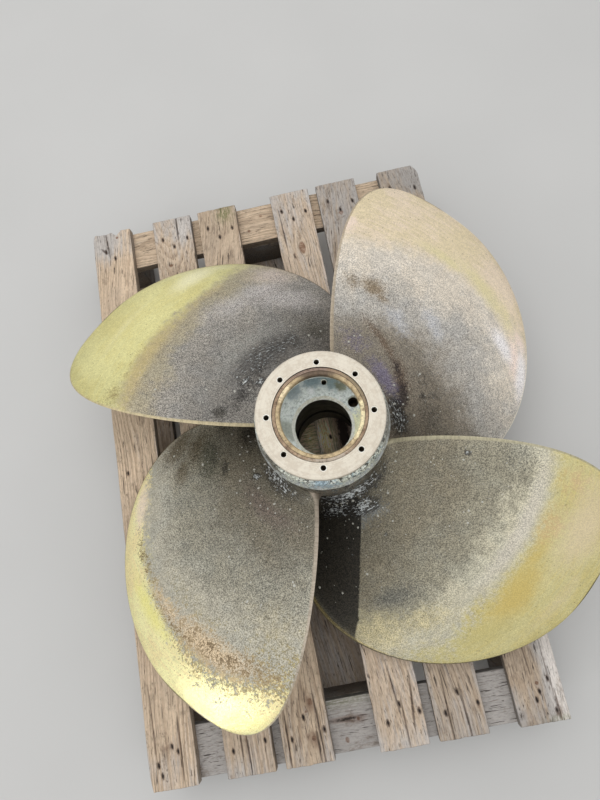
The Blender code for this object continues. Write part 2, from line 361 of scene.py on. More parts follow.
def addStage():
    # A flat disc that curves up at its rim: height follows a quarter ellipse outside the flat radius.
    s = stageSettings
    flat = np.linspace(s["innerShare"], 1, s["steps"]) * s["flatRadius"]
    rise = np.linspace(0, math.pi / 2, s["steps"])[1:]
    radius = np.concatenate((flat, s["flatRadius"] + (s["coveRadius"] - s["flatRadius"]) * np.sin(rise)))
    height = np.concatenate((0 * flat, s["coveHeight"] * (1 - np.cos(rise)))) - s["drop"]
    grid = polar(radius[:, None], circleAngles(s["around"]), height[:, None])
    quads = np.concatenate((ringQuads(len(radius), s["around"]), ladderQuads(0, s["around"])))
    paint = Finish("stageGrey")
    drifts = paint.ramp(paint.noise(paint.place(), s["driftSize"]), 0.2, 0.8, 0.98, 1.02)
    finish = paint.close(colour=paint.shade(s["floorTone"], drifts), roughness=0.9)
    addMesh("floor", grid, quads, [finish])
    # The light from all round grows paler upwards.
    air = Finish("softbox", "worlds")
    up = air.split(air.node("ShaderNodeTexCoord"))[2]
    sky = air.mix(s["worldRim"], s["worldTop"], up)
    air.feed(air.tree.nodes["Background"], {0: sky, 1: s["worldStrength"]})
    bpy.context.scene.world = air.holder


def addLights():
    for name, s in lightSettings.items():
        lamp = addObject(name, bpy.data.lights.new(name, "AREA"))
        lamp.data.shape = "DISK"
        lamp.data.size, lamp.data.energy = s["size"], s["power"]
        lamp.location = s["place"]
        toward = np.array(s["aim"]) - np.array(s["place"])
        lamp.rotation_euler = (math.acos(-toward[2] / np.linalg.norm(toward)), 0,
                               math.atan2(toward[1], toward[0]) - math.pi / 2)


# Where the propeller stands, read from the frame

ringLow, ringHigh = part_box("seat_ring")
castingLow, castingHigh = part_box("propeller_casting")
axisX, axisY = (ringLow.x + ringHigh.x) / 2, (ringLow.y + ringHigh.y) / 2
faceZ, footZ = castingHigh.z, castingLow.z
print("propeller axis at", round(axisX, 4), round(axisY, 4), "face at", round(faceZ, 4))


# Blades

bladeShape = {
    "tipRadius": 0.536,
    "rootRadius": 0.105,
    "pitch": (0.534, 0.77, 1.16),
    "skew": (25.5, 25.1, 35.3, 51.5),
    "rake": (0.0915, 0.1025, 0.113, 0.115),
    "chord": (0.21, 0.494, 0.658, 0.617),
    "tipPower": 1.82,
    "tipRoundness": 0.284,
    "tipChord": 0.03,
    "thickness": (0.034, 0.004),
    "edge": (0.0085, 0.004),
    "fullness": 0.8,
    "edgeSquareness": 10,
    "hubRadius": 0.112,
    "filletRadius": 0.026,
    "buriedRadius": 0.094,
    "tipRounding": 0.0022,
    "unevenness": 0.00045,
    "filletRows": 12,
    "spanRows": 96,
    "roundingRows": 7,
    "chordPoints": 84,
}

# The tags that hold each blade's nine marks, three in each.
markTags = ("marksFirst", "marksSecond", "marksThird")

# Finish of each blade. polish is where the tarnish ends, in shares of the span, evenly from the leading
# to the trailing edge. soft is how wide that line is, and ragged how broken at the two edges. fade says how
# far below it the near, middle and deep tones lie. edge is the tone of a thin line along the leading edge:
# dark on three blades, as painted shade where the rounded edge turns from the light, and pale on the
# far-right blade. A mark is a tone, how broken it is, and soft ovals of (chord share, span share, chord
# size, span size, strength, turn). crust is where lime gathers, in the same ovals. One blade also lists the
# edge of a painted shadow where the near-left blade's trailing edge lies over it: span shares, and the
# chord share at each.
bladeFinishes = [
    {
        "name": "bladeFarRight", "polish": (0.82, 0.78, 0.755, 0.69, 0.63), "soft": 0.06,
        "ragged": (0.02, 0.03), "fade": (0.1, 0.26, 0.46), "bright": tone(236, 219, 182),
        "warm": tone(243, 224, 198), "near": tone(223, 212, 195), "middle": tone(190, 184, 174),
        "deep": tone(144, 134, 118), "edge": tone(240, 232, 214), "strip": tone(176, 160, 136),
        "stipple": 0.26,
        "marks": [
            (tone(232, 220, 170), 0.4, [
                (0.58, 0.762, 0.12, 0.022, 0.8, -6), (0.36, 0.79, 0.14, 0.035, 0.9),
                (0.2, 0.79, 0.06, 0.04, 0.7)]),
            (tone(255, 232, 218), 0.9, [
                (0.985, 0.7, 0.02, 0.035, 0.8), (0.09, 0.79, 0.05, 0.02, 0.8, -10),
                (0.13, 0.73, 0.05, 0.04, 0.9)]),
            (tone(252, 247, 246), 0.5, [(0.23, 0.7, 0.07, 0.024, 1.0, -10), (0.05, 0.73, 0.045, 0.045)]),
            (tone(200, 200, 202), 1.0, [
                (0.71, 0.37, 0.07, 0.035, 0.7, 15), (0.58, 0.47, 0.06, 0.03, 0.8, 15)]),
            (tone(134, 114, 84), 0.9, [
                (0.845, 0.445, 0.04, 0.03), (0.925, 0.44, 0.03, 0.03, 0.7),
                (0.8, 0.415, 0.03, 0.014, 0.8)]),
            (tone(114, 95, 77), 1.5, [
                (0.71, 0.25, 0.12, 0.014, 1.0, 20), (0.53, 0.19, 0.08, 0.03, 1.0, 18)]),
            (tone(52, 42, 40), 1.4, [
                (0.45, 0.16, 0.07, 0.022, 1.2, 18), (0.58, 0.205, 0.05, 0.012, 1.0, 18)]),
            (tone(130, 122, 144), 1.3, [(0.6, 0.135, 0.12, 0.026, 1.1, 6), (0.86, 0.19, 0.08, 0.04, 0.5)]),
            (tone(52, 49, 46), 0.8, [
                (0.394, 0.243, 0.02, 0.01, 1.0, 8), (0.29, 0.24, 0.1, 0.04, 0.5),
                (0.36, 0.11, 0.12, 0.03, 0.8)]),
        ],
        "crust": [(0.3, 0.1, 0.1, 0.045, 0.85), (0.42, 0.1, 0.08, 0.03, 0.8), (0.42, 0.28, 0.2, 0.07, 0.5)],
    },
    {
        "name": "bladeFarLeft", "polish": (0.8, 0.74, 0.69, 0.655, 0.635), "soft": 0.035,
        "ragged": (0.02, 0.05), "fade": (0.06, 0.17, 0.36), "bright": tone(216, 210, 150),
        "warm": tone(208, 199, 136), "near": tone(172, 161, 135), "middle": tone(160, 154, 144),
        "deep": tone(140, 135, 127), "edge": tone(92, 80, 52), "strip": tone(206, 190, 150),
        "stipple": 0.34,
        "marks": [
            (tone(236, 231, 190), 0.3, [
                (0.18, 0.85, 0.14, 0.03, 1.0, -12), (0.06, 0.87, 0.06, 0.07, 0.7),
                (0.6, 0.86, 0.2, 0.02, 0.4, -5)]),
            (tone(190, 172, 124), 0.5, [
                (0.78, 0.645, 0.2, 0.034, 0.9, -6), (0.42, 0.69, 0.14, 0.018, 0.6, -10)]),
            (tone(206, 192, 184), 0.5, [
                (0.1, 0.68, 0.1, 0.05, 0.8, -20), (0.22, 0.6, 0.1, 0.03, 0.6, -30)]),
            (tone(192, 186, 181), 0.7, [
                (0.2, 0.52, 0.1, 0.05), (0.26, 0.6, 0.1, 0.04, 0.9, -10), (0.4, 0.57, 0.12, 0.05, 0.8)]),
            (tone(92, 88, 76), 0.8, [(0.2, 0.34, 0.07, 0.06, 0.7)]),
            (tone(166, 164, 156), 1.4, [(0.55, 0.34, 0.22, 0.05, 0.7, -6)]),
            (tone(64, 60, 51), 0.8, [(0.93, 0.22, 0.03, 0.03)]),
            (tone(58, 54, 50), 1.4, [(0.78, 0.17, 0.12, 0.03, 0.8), (0.6, 0.2, 0.1, 0.02, 0.6)]),
            (tone(150, 134, 92), 1.2, [(0.95, 0.69, 0.05, 0.03, 0.6), (0.8, 0.68, 0.1, 0.01, 0.4)]),
        ],
        "crust": [
            (0.5, 0.26, 0.26, 0.07, 0.72, -8), (0.64, 0.15, 0.04, 0.014, 1.1),
            (0.7, 0.2, 0.04, 0.012, 1.1)],
    },
    {
        "name": "bladeNearLeft", "polish": (0.64, 0.735, 0.79, 0.775, 0.72), "soft": 0.03,
        "ragged": (0.1, 0.26), "fade": (0.12, 0.3, 0.52), "bright": tone(252, 245, 184),
        "warm": tone(246, 229, 172), "near": tone(184, 178, 160), "middle": tone(157, 152, 135),
        "deep": tone(130, 123, 106), "edge": tone(98, 86, 52), "strip": tone(186, 172, 154),
        "stipple": 0.34,
        "marks": [
            (tone(244, 224, 200), 0.8, [(0.09, 0.7, 0.05, 0.035)]),
            (tone(246, 238, 150), 0.8, [(0.3, 0.84, 0.12, 0.03, 0.9), (0.88, 0.92, 0.08, 0.05, 0.7)]),
            (tone(98, 86, 64), 0.8, [
                (0.06, 0.5, 0.06, 0.06, 1.0, -5), (0.13, 0.4, 0.07, 0.05, 0.9),
                (0.19, 0.47, 0.05, 0.035, 0.9)]),
            (tone(88, 88, 72), 1.0, [(0.22, 0.33, 0.09, 0.05, 0.9, -8)]),
            (tone(36, 34, 30), 0.9, [
                (0.3, 0.255, 0.04, 0.012, 1.0, 4), (0.24, 0.31, 0.03, 0.012, 0.7),
                (0.05, 0.28, 0.04, 0.04, 0.6), (0.08, 0.15, 0.1, 0.04, 0.8)]),
            (tone(224, 198, 160), 1.6, [
                (0.68, 0.755, 0.17, 0.045, 1.1, -5), (0.45, 0.77, 0.12, 0.03, 0.8)]),
            (tone(118, 98, 72), 2.6, [
                (0.75, 0.745, 0.16, 0.035, 0.5, -5), (0.45, 0.79, 0.12, 0.02, 0.45),
                (0.26, 0.75, 0.08, 0.02, 0.55)]),
            (tone(180, 168, 132), 1.0, [(0.9, 0.58, 0.1, 0.09, 0.5), (0.55, 0.66, 0.14, 0.04, 0.4)]),
            (tone(122, 108, 98), 0.6, [(0.65, 0.17, 0.2, 0.04, 0.8)]),
        ],
        "crust": [
            (0.42, 0.12, 0.03, 0.014, 1.1), (0.2, 0.3, 0.16, 0.07, 0.4), (0.55, 0.04, 0.3, 0.045, 0.84)],
    },
    {
        "name": "bladeNearRight", "polish": (0.8, 0.745, 0.695, 0.685, 0.67), "soft": 0.045,
        "ragged": (0.06, 0.03), "fade": (0.06, 0.2, 0.4), "bright": tone(218, 208, 152),
        "warm": tone(212, 198, 134), "near": tone(206, 199, 174), "middle": tone(157, 151, 131),
        "deep": tone(140, 132, 112), "edge": tone(86, 76, 44), "strip": tone(184, 176, 146), "stipple": 0.3,
        # Edge of a painted shadow, where the near-left blade's trailing edge lies over this blade.
        "paintedShadowEdge": ((0.087, 0.146, 0.226, 0.307, 0.389, 0.473, 0.557, 0.643),
                  (0.419, 0.379, 0.336, 0.294, 0.249, 0.191, 0.12, 0.01)),
        "marks": [
            (tone(214, 190, 112), 0.5, [
                (0.48, 0.77, 0.13, 0.045, 1.0, -12), (0.65, 0.735, 0.07, 0.03, 0.8),
                (0.014, 0.52, 0.006, 0.16, 1.2)]),
            (tone(218, 188, 140), 1.2, [(0.76, 0.735, 0.06, 0.04, 0.7), (0.92, 0.77, 0.05, 0.05, 0.6)]),
            (tone(230, 212, 176), 0.4, [(0.78, 0.86, 0.16, 0.07, 0.9), (0.4, 0.92, 0.2, 0.03, 0.5)]),
            (tone(214, 206, 190), 0.5, [(0.72, 0.64, 0.2, 0.028, 0.9)]),
            (tone(222, 209, 164), 1.2, [
                (0.12, 0.62, 0.12, 0.06, 0.9, -25), (0.28, 0.63, 0.08, 0.045, 0.8, -10)]),
            (tone(118, 117, 108), 1.0, [
                (0.31, 0.495, 0.07, 0.03, 1.0, -10), (0.95, 0.54, 0.05, 0.07, 0.5)]),
            (tone(176, 182, 182), 1.4, [(0.42, 0.125, 0.1, 0.04, 0.8, 5)]),
            (tone(54, 54, 52), 1.0, [(0.2, 0.07, 0.2, 0.03, 0.8), (0.6, 0.05, 0.2, 0.02, 0.8)]),
            (tone(206, 194, 132), 0.6, [(0.25, 0.81, 0.1, 0.05, 0.8), (0.1, 0.78, 0.1, 0.05, 0.6)]),
        ],
        "crust": [
            (0.44, 0.1, 0.1, 0.035, 1.02, 6), (0.22, 0.075, 0.14, 0.03, 0.88),
            (0.25, 0.25, 0.1, 0.06, 0.35), (0.42, 0.02, 0.35, 0.035, 0.98), (0.94, 0.343, 0.008, 0.01, 1.3),
            (0.463, 0.253, 0.004, 0.005, 1.4)],
    },
]


def bladeRadii():
    # Stations from inside the hub outwards, close together in the root fillet and towards the rounded tip.
    s = bladeShape
    fillet = s["hubRadius"] + s["filletRadius"] * np.linspace(0, 1, s["filletRows"]) ** 1.5
    end = s["tipRadius"] - s["tipRounding"]
    spanShare = 1 - (1 - np.arange(1, s["spanRows"]) / s["spanRows"]) ** 1.7
    span = fillet[-1] + (end - fillet[-1]) * spanShare
    turn = np.linspace(0, math.pi / 2, s["roundingRows"])
    rounding = end + s["tipRounding"] * np.sin(turn)
    return np.concatenate(([s["buriedRadius"]], fillet, span, rounding))


def bladePoints(radius, across, side):
    # A section is wrapped on its cylinder: the chord climbs at the pitch angle, and the two faces lie apart
    # by the thickness, a power of a parabola, with rounded edges and a quarter circle swelling at the root.
    s = bladeShape
    share = (radius - s["rootRadius"]) / (s["tipRadius"] - s["rootRadius"])
    span = np.clip(share, 0, 1)
    climb = np.arctan2(smoothLaw(s["pitch"], share), 2 * math.pi * radius)
    tipDraw = np.clip(1 - span ** s["tipPower"], 0, 1) ** s["tipRoundness"]
    chord = np.maximum(smoothLaw(s["chord"], share) * tipDraw, s["tipChord"])
    thickness = between(*s["thickness"], span)
    edge = between(*s["edge"], span)
    gap = s["filletRadius"] - np.clip(radius - s["hubRadius"], 0, s["filletRadius"])
    swell = s["filletRadius"] - np.sqrt(s["filletRadius"] ** 2 - gap ** 2)
    bulge = (thickness - edge) * (4 * across * (1 - across)) ** s["fullness"]
    edgeRound = np.sqrt(1 - np.abs(2 * across - 1) ** s["edgeSquareness"])
    fromEnd = np.clip((radius - s["tipRadius"] + s["tipRounding"]) / s["tipRounding"], 0, 1)
    thin = np.sqrt(1 - fromEnd ** 2) + 0 * across
    middle = (edge + bulge) / 2
    upper = middle - thin * (middle - edge / 2 * (1 - edgeRound)) - swell * edgeRound
    lower = middle + thin * (edge / 2 * (1 + edgeRound) + bulge - middle) + swell * edgeRound
    offset = np.where(side > 0, upper, lower)
    along = (across - 0.5) * chord
    wrap = (along * np.cos(climb) + offset * np.sin(climb)) / radius
    height = smoothLaw(s["rake"], share) + along * np.sin(climb) - offset * np.cos(climb)
    rim = np.minimum(np.minimum(across, 1 - across) * chord, s["tipRadius"] - radius)
    points = polar(radius, np.radians(smoothLaw(s["skew"], share)) + wrap, height)
    return points, share + 0 * across, rim, along


def turnedAbout(points, angle):
    # Turns points about the shaft axis and stands them on the foot of the hub.
    x, y, z = points[..., 0], points[..., 1], points[..., 2]
    return np.stack((axisX + x * math.cos(angle) - y * math.sin(angle),
                     axisY + x * math.sin(angle) + y * math.cos(angle), footZ + z), -1)


def bladeFinish(s):
    # Bronze: yellow where polished, grey-brown where tarnished, with stipple, blots, marks, a painted shadow
    # where a neighbouring blade lies over it, lime, a strip of bare metal along the trailing edge and a line
    # along the leading edge, which is painted shade on three blades.
    f = Finish(s["name"] + "Bronze")
    where = f.place()
    boundary, rim, under = f.split(f.tagged("wear"))
    paintedShadowEdge, trail, ragged = f.split(f.tagged("zone"))
    along, radius, crust = f.split(f.tagged("flow"))
    grit = f.noise(where, 0.0021, 2, 0.6)
    fleck = f.noise(f.shift(where, (2, 7, 4)), 0.0055, 3, 0.7)
    blot = f.noise(where, 0.016, 4, 0.65)
    drifts = f.noise(where, 0.09, 3, 0.55)
    brushed = f.noise(f.combine(along * 0.12, radius, under), 0.005, 4, 0.65)
    fibres = f.noise(f.combine(along * 0.3, radius, under), 0.0026, 3, 0.7)
    gritSway, fleckSway, blotSway = grit - 0.5, fleck - 0.5, blot - 0.5
    driftSway, fibreSway = drifts - 0.5, fibres - 0.5
    # Polished metal above the boundary, and three tones of tarnish below it.
    broken = (fleckSway + gritSway) * 2.2 + blotSway * 0.8
    wander = driftSway * (ragged * 0.8 + 0.05) + blotSway * (ragged * 0.9 + 0.05) + broken * ragged * 0.9
    polished = f.ramp(boundary + wander, -s["soft"], s["soft"])
    nearAt, middleAt, deepAt = s["fade"]
    depth = boundary + driftSway * 0.26 + blotSway * 0.14
    tarnish = f.mix(s["deep"], s["middle"], f.ramp(depth, -deepAt, -middleAt))
    tarnish = f.mix(tarnish, s["near"], f.ramp(depth, -middleAt, -nearAt))
    cool = f.ramp(f.noise(f.shift(where, (3, 1, 2)), 0.045, 2, 0.5), 0.42, 0.62)
    tarnish = f.mix(tarnish, f.stretch(tarnish, (0.93, 0.97, 1.03)), cool * 0.5)
    tarnish = f.shade(tarnish, f.ramp(brushed * 0.6 + blot * 0.4, 0.36, 0.64, 0.88, 1.1))
    streaks = f.ramp((drifts + brushed) * 0.5, 0.42, 0.6)
    bright = f.shade(f.mix(s["bright"], s["warm"], streaks), f.ramp(brushed, 0.3, 0.7, 0.96, 1.04))
    bright = f.shade(bright, f.ramp(fleck, 0.36, 0.64, 1.04, 0.95) * f.ramp(blot, 0.3, 0.7, 0.96, 1.03))
    pits = f.ramp(f.noise(where, 0.0046, 2, 0.75) + ragged * f.ramp(boundary, 0.16, 0.0), 0.66, 0.73)
    colour = f.mix(tarnish, f.mix(bright, tone(124, 106, 70), pits * 0.7), polished)
    marks = [mark for name in markTags for mark in f.split(f.tagged(name))]
    for mark, (paint, roughEdge, ovals) in zip(marks, s["marks"]):
        share = f.ramp(mark + (blotSway * 0.9 + fleckSway + gritSway * 0.7) * roughEdge, 0.12, 1.0)
        colour = f.mix(colour, paint, share * f.ramp(mark, 0.02, 0.25) * 0.85)
    # Stipple and pale flecks, the painted shadow of the neighbouring blade, then lime with dark metal about
    # it.
    strength = s["stipple"] * (1 - f.ramp(depth, -middleAt, 0.0) * 0.4)
    stipple = (f.ramp(grit, 0.34, 0.66, 1.15, -1.75) + f.ramp(fleck, 0.3, 0.7, 0.25, -0.35)) * strength + 1
    colour = f.shade(colour, stipple * (1 - polished) + polished * f.ramp(grit, 0.34, 0.66, 1.09, 0.88))
    flecks = f.ramp(f.noise(f.shift(where, (1, 5, 3)), 0.0032, 1, 0.5), 0.71, 0.78) * (1 - polished)
    stainAndShade = f.mix(tone(54, 50, 43), tone(20, 19, 16), f.ramp(grit * 0.6 + fleck * 0.4, 0.42, 0.58))
    paintedShadow = f.ramp(paintedShadowEdge + fleckSway * 0.012, -0.003, 0.004) * f.ramp(rim, 0.001, 0.03, 0.62, 0.94)
    crackle = f.ramp(crust + (blotSway - fibreSway) * 0.8, 0.3, 0.8)
    flaky = blotSway * 0.7 + fleckSway * 0.9 + fibreSway * 2.4 + gritSway * 0.8
    lime = f.ramp(crust * 0.92 + flaky, 0.74, 0.98)
    # The trailing edge's strip narrows outwards, and the leading edge has a thin line: painted shade where
    # its rounding turns from the light, pale on the far-right blade.
    width = f.ramp(radius, 0.15, 0.5, 0.0085, 0.0035)
    strip = f.ramp(rim + blotSway * 0.004, width, width * 0.6) * trail
    bareAndLit = f.mix(s["strip"], f.shade(s["strip"], 0.72), f.ramp(brushed, 0.42, 0.62))
    colour = f.lay(colour, (tone(212, 208, 198), flecks * 0.65), (stainAndShade, paintedShadow),
                   (tone(46, 43, 40), crackle * 0.75), (tone(236, 240, 238), lime * 0.85),
                   (bareAndLit, strip * 0.8), (s["edge"], f.ramp(rim, 0.004, 0.0016) * (1 - trail) * 0.9))
    colour = f.mix(colour, f.shade(colour, 0.6), under * 0.8)
    height = (grit * 0.4 + fleck * 0.5 + blot * 0.6 + lime * 1.4) * (1 - polished * 0.6)
    return f.close(colour=colour, metal=f.ramp(polished, 0.0, 1.0, 0.4, 0.72) * (1 - lime * 0.8),
                   roughness=f.ramp(polished, 0.0, 1.0, 0.5, 0.31) + lime * 0.3 + blotSway * 0.16,
                   normal=f.bump(height, 0.0011))


def addBlade(index, s):
    shape = bladeShape
    radius = bladeRadii()[:, None]
    count = shape["chordPoints"]
    across = (1 - np.cos(np.linspace(0, math.pi, count + 1))) / 2
    across = np.concatenate((across, across[-2:0:-1]))[None, :]
    side = np.where(np.arange(2 * count) <= count, 1, -1)[None, :]
    points, span, rim, along = bladePoints(radius, across, side)
    lumps = cloud(points + index, 0.05, 11) - 0.5 + (cloud(points + index, 0.014, 12) - 0.5) * 0.35
    points[..., 2] += lumps * shape["unevenness"] * 2 * np.clip(span * 8, 0, 1) * np.clip(rim / 0.01, 0, 1)
    points = turnedAbout(points, index * math.pi / 2)
    blade = addMesh(s["name"], points, tubeQuads(*points.shape[:2]), [bladeFinish(s)], sharp=40)
    # The upper face carries the marks and crust, and the lower face only a share of them.
    top = np.where(side > 0, 1.0, 0.35)
    ovals = [spread(places, across, span) * top for paint, roughEdge, places in s["marks"]]
    # How far each point lies inside the painted shadow's edge, or -1 on blades without one.
    paintedShadowEdge = np.interp(span, *s["paintedShadowEdge"]) - across if "paintedShadowEdge" in s else 0 * span - 1
    tagPoints(blade, wear=(span - smoothLaw(s["polish"], across + 0 * span), rim, side < 0),
              zone=(np.where(side > 0, paintedShadowEdge, -1), ease(across, 0.4, 0.6),
                    between(*s["ragged"], ease(across, 0.35, 0.6))),
              flow=(along + index, radius + 0 * across, spread(s["crust"], across, span) * top),
              **{name: ovals[3 * i:3 * i + 3] for i, name in enumerate(markTags)})
    return keep(blade, "bronze", "propeller_casting")


# Hub and seat ring, turned about the shaft axis

# The two corners of the chamber's sloping floor: radius and depth below the face.
chamberFloor = ((0.055, 0.106), (0.088, 0.09))

# A corner of an outline is (radius, depth below the face, rounding, finish). The finish runs to the next.
hubOutline = [
    (0.103, 0.0, 0.0013, "face"),
    (0.103, 0.0128, 0.0006, "groove"),
    (0.1, 0.0145, 0.0008, "groove"),
    (0.1, 0.0162, 0.0008, "collar"),
    (0.107, 0.022, 0.003, "collar"),
    (0.1128, 0.0628, 0.0022, "cast"),
    (0.107, 0.07, 0.003, "cast"),
    (0.112, 0.195, 0.03, "cast"),
    (0.108, 0.3245, 0.0015, "cast"),
    (0.0622, 0.326, 0.0012, "bore"),
    (0.05645, 0.245, 0.0008, "bore"),
    (0.05945, 0.242, 0.0008, "bore"),
    (0.05545, 0.168, 0.0008, "bore"),
    (0.05245, 0.165, 0.0008, "bore"),
    (0.0495, 0.1115, 0.001, "rim"),
    (*chamberFloor[0], 0.0008, "chamber"),
    (*chamberFloor[1], 0.006, "chamber"),
    (0.088, 0.058, 0.008, "chamber"),
    (0.07, 0.04, 0.002, "chamber"),
    (0.07, 0.0143, 0.0004, "chamber"),
    (0.076, 0.0143, 0.0004, "groove"),
    (0.076, 0.0, 0.0005, "face"),
]
hubSettings = {
    "around": 216,
    "longest": 0.006,
    "cornerPoints": 5,
    "roughCast": 0.0011,
    "lumpsEnd": -0.32,
    "faceHoles": {"count": 8, "first": -7.5, "circle": 0.0845, "radius": 0.0044, "depth": 0.022,
                  "thread": 0.0004},
    "floorHoles": [
        {"circle": 0.0675, "angle": 28.0, "radius": 0.009, "depth": 0.045, "thread": 0.0},
        {"circle": 0.077, "angle": 77.5, "radius": 0.0044, "depth": 0.03, "thread": 0.0003},
    ],
    "threadPitch": 0.0015,
    "countersink": 0.0011,
    "drillSides": 20,
    "drillTop": 0.012,
}
# Blooms are soft patches of (tone, x, y, height, reach) from the middle of the face.
collarBlooms = [
    (tone(96, 91, 80), -0.095, -0.04, -0.035, 0.05),
    (tone(170, 192, 204), -0.02, -0.105, -0.03, 0.03),
    (tone(128, 126, 118), 0.1, -0.03, -0.035, 0.05),
]
chamberBlooms = [
    (tone(120, 144, 154), 0.002, 0.084, -0.09, 0.029),
    (tone(132, 154, 158), 0.028, 0.071, -0.092, 0.02),
    (tone(146, 160, 166), -0.038, 0.07, -0.09, 0.019),
    (tone(255, 255, 255), -0.008, 0.064, -0.096, 0.01),
    (tone(130, 130, 98), 0.046, 0.06, -0.092, 0.013),
    (tone(176, 180, 168), -0.062, 0.006, -0.097, 0.02),
    (tone(250, 246, 200), 0.058, -0.008, -0.096, 0.032),
]
ringSettings = {
    "around": 180,
    "longest": 0.004,
    "cornerPoints": 4,
    "metal": 0.35,
    "outerBlooms": [
        (tone(132, 112, 100), 0.0, 0.075, 0.0, 0.045),
        (tone(176, 164, 148), 0.0, -0.075, 0.0, 0.04),
        (tone(138, 124, 98), 0.07, 0.03, 0.0, 0.035),
    ],
    # The second inner patch is a painted highlight on the inner chamfer at the left, and the dark third one
    # painted shade on the inner wall at the far side.
    "innerBlooms": [
        (tone(236, 224, 182), 0.062, -0.022, 0.0, 0.035),
        (tone(232, 214, 176), -0.05, 0.043, 0.0, 0.018),
        (tone(70, 52, 44), 0.01, 0.066, -0.004, 0.035),
    ],
}
ringOutline = [
    (0.0757, 0.002, 0.0006, "outer"),
    (0.0757, 0.014, 0.0006, "outer"),
    (0.0635, 0.014, 0.0006, "inner"),
    (0.0635, 0.0036, 0.0007, "inner"),
    (0.0652, 0.0022, 0.0009, "inner"),
    (0.0697, 0.002, 0.0002, "inner"),
    (0.0702, 0.0028, 0.0002, "groove"),
    (0.0707, 0.002, 0.0002, "outer"),
]


def outlinePoints(outline, cornerPoints, longest):
    # Rounds each corner with an arc that touches both sides, and divides long sides evenly.
    corners = np.array([(radius, -depth) for radius, depth, rounding, finish in outline])
    points, finishes = [], []
    for i, here in enumerate(corners):
        rounding, finish = outline[i][2:]
        sides = np.array((corners[i - 1], corners[(i + 1) % len(corners)])) - here
        lengths = np.linalg.norm(sides, axis=1)
        sides = sides / lengths[:, None]
        half = math.acos(np.clip(sides[0] @ sides[1], -1, 1)) / 2
        if half > math.radians(88):
            points.append(here)
            finishes.append(finish)
            continue
        reach = min(rounding / math.tan(half), 0.45 * min(lengths))
        middle = sides[0] + sides[1]
        centre = here + middle / np.linalg.norm(middle) * reach / math.cos(half)
        arm = here + sides * reach - centre
        sweep = math.pi - 2 * half
        for step in range(cornerPoints):
            share = step / (cornerPoints - 1)
            mixed = arm[0] * math.sin((1 - share) * sweep) + arm[1] * math.sin(share * sweep)
            points.append(centre + mixed / math.sin(sweep))
            finishes.append(outline[i - 1][3] if step < cornerPoints // 2 else finish)
    dense, names = [], []
    for i, (point, finish) in enumerate(zip(points, finishes)):
        step = points[(i + 1) % len(points)] - point
        pieces = max(1, math.ceil(np.linalg.norm(step) / longest))
        dense += [point + step * k / pieces for k in range(pieces)]
        names += [finish] * pieces
    return np.array(dense), names


def turnedGrid(outline, around):
    # The outline swept round the shaft axis.
    return polar(outline[:, :1], circleAngles(around), outline[:, 1:]) + (axisX, axisY, faceZ)


def addTurned(name, grid, names, finishes):
    # A closed outline swept round: its last ring joins its first, and each ring of faces has its own finish.
    rings, around = grid.shape[:2]
    kinds = list(finishes)
    which = np.repeat([kinds.index(kind) for kind in names], around)
    quads = ringQuads(rings + 1, around) % (rings * around)
    return addMesh(name, grid, quads, list(finishes.values()), which, sharp=32)


def machinedFinish(name, base, stain, roughness, ringSize, speckle, mottle=0.3, metal=0.5, blooms=()):
    # Turned metal: fine rings about the axis, drifts, stains, specks and blooms.
    f = Finish(name)
    where = f.shift(f.place(), (-axisX, -axisY, -faceZ))
    turning = f.noise(f.combine(f.length(f.stretch(where, (1, 1, 0))), 0.0, 0.0), ringSize, 3, 0.7)
    drifts = f.noise(where, 0.022, 4, 0.65)
    spots = f.noise(where, 0.0045, 3, 0.7)
    stainAndShade = f.ramp(drifts + (spots - 0.5) * 0.9, 0.5 - mottle * 0.3, 0.5 + mottle * 0.6)
    colour = f.bloom(f.mix(base, stain, stainAndShade), where, blooms, drifts, spots)
    colour = f.mix(colour, f.shade(stain, 0.45), f.ramp(spots, 0.58, 0.7) * speckle)
    uneven = f.ramp(spots, 0.3, 0.7, 1 + mottle * 0.2, 1 - mottle * 0.2)
    colour = f.shade(colour, f.ramp(turning, 0.35, 0.65, 0.92, 1.06) * uneven)
    return f.close(colour=colour, roughness=f.ramp(drifts, 0.3, 0.8, roughness, roughness + 0.15),
                   metal=metal, normal=f.bump(turning + spots * 0.4, 0.0003))


def castFinish(name, base, light, dark, crustLow, crustHigh, crusty=0.0, blooms=()):
    # Cast and corroded bronze: green-grey drifts, running streaks, dark pits, and lime between two heights.
    f = Finish(name)
    where = f.shift(f.place(), (-axisX, -axisY, -faceZ))
    up = f.split(where)[2]
    drifts = f.noise(where, 0.028, 4, 0.6)
    streaks = f.noise(f.stretch(where, (1, 1, 0.25)), 0.007, 4, 0.7)
    grit = f.noise(where, 0.0036, 3, 0.7)
    blues = f.noise(f.shift(where, (2, 2, 2)), 0.018, 3, 0.6)
    streakSway, gritSway = streaks - 0.5, grit - 0.5
    colour = f.lay(base, (light, f.ramp(drifts + streakSway * 0.9, 0.42, 0.7)),
                   (tone(128, 154, 160), f.ramp(blues + streakSway * 0.6, 0.56, 0.68) * 0.7),
                   (dark, f.ramp(streaks + gritSway, 0.51, 0.62)))
    colour = f.bloom(colour, where, blooms, drifts, streaks)
    band = f.ramp(up, crustLow - 0.012, crustLow) * f.ramp(up, crustHigh + 0.012, crustHigh)
    lime = f.ramp(band * (0.45 + crusty) + (streakSway + gritSway) * 2.0, 0.5, 0.64)
    colour = f.shade(f.mix(colour, tone(206, 210, 208), lime * 0.9), f.ramp(grit, 0.36, 0.64, 1.3, 0.6))
    normal = f.bump(drifts + streaks * 0.8 + grit * 0.6 + lime * 0.8, 0.002)
    return f.close(colour=colour, roughness=0.62 + lime * 0.25, metal=0.4 - lime * 0.35, normal=normal)


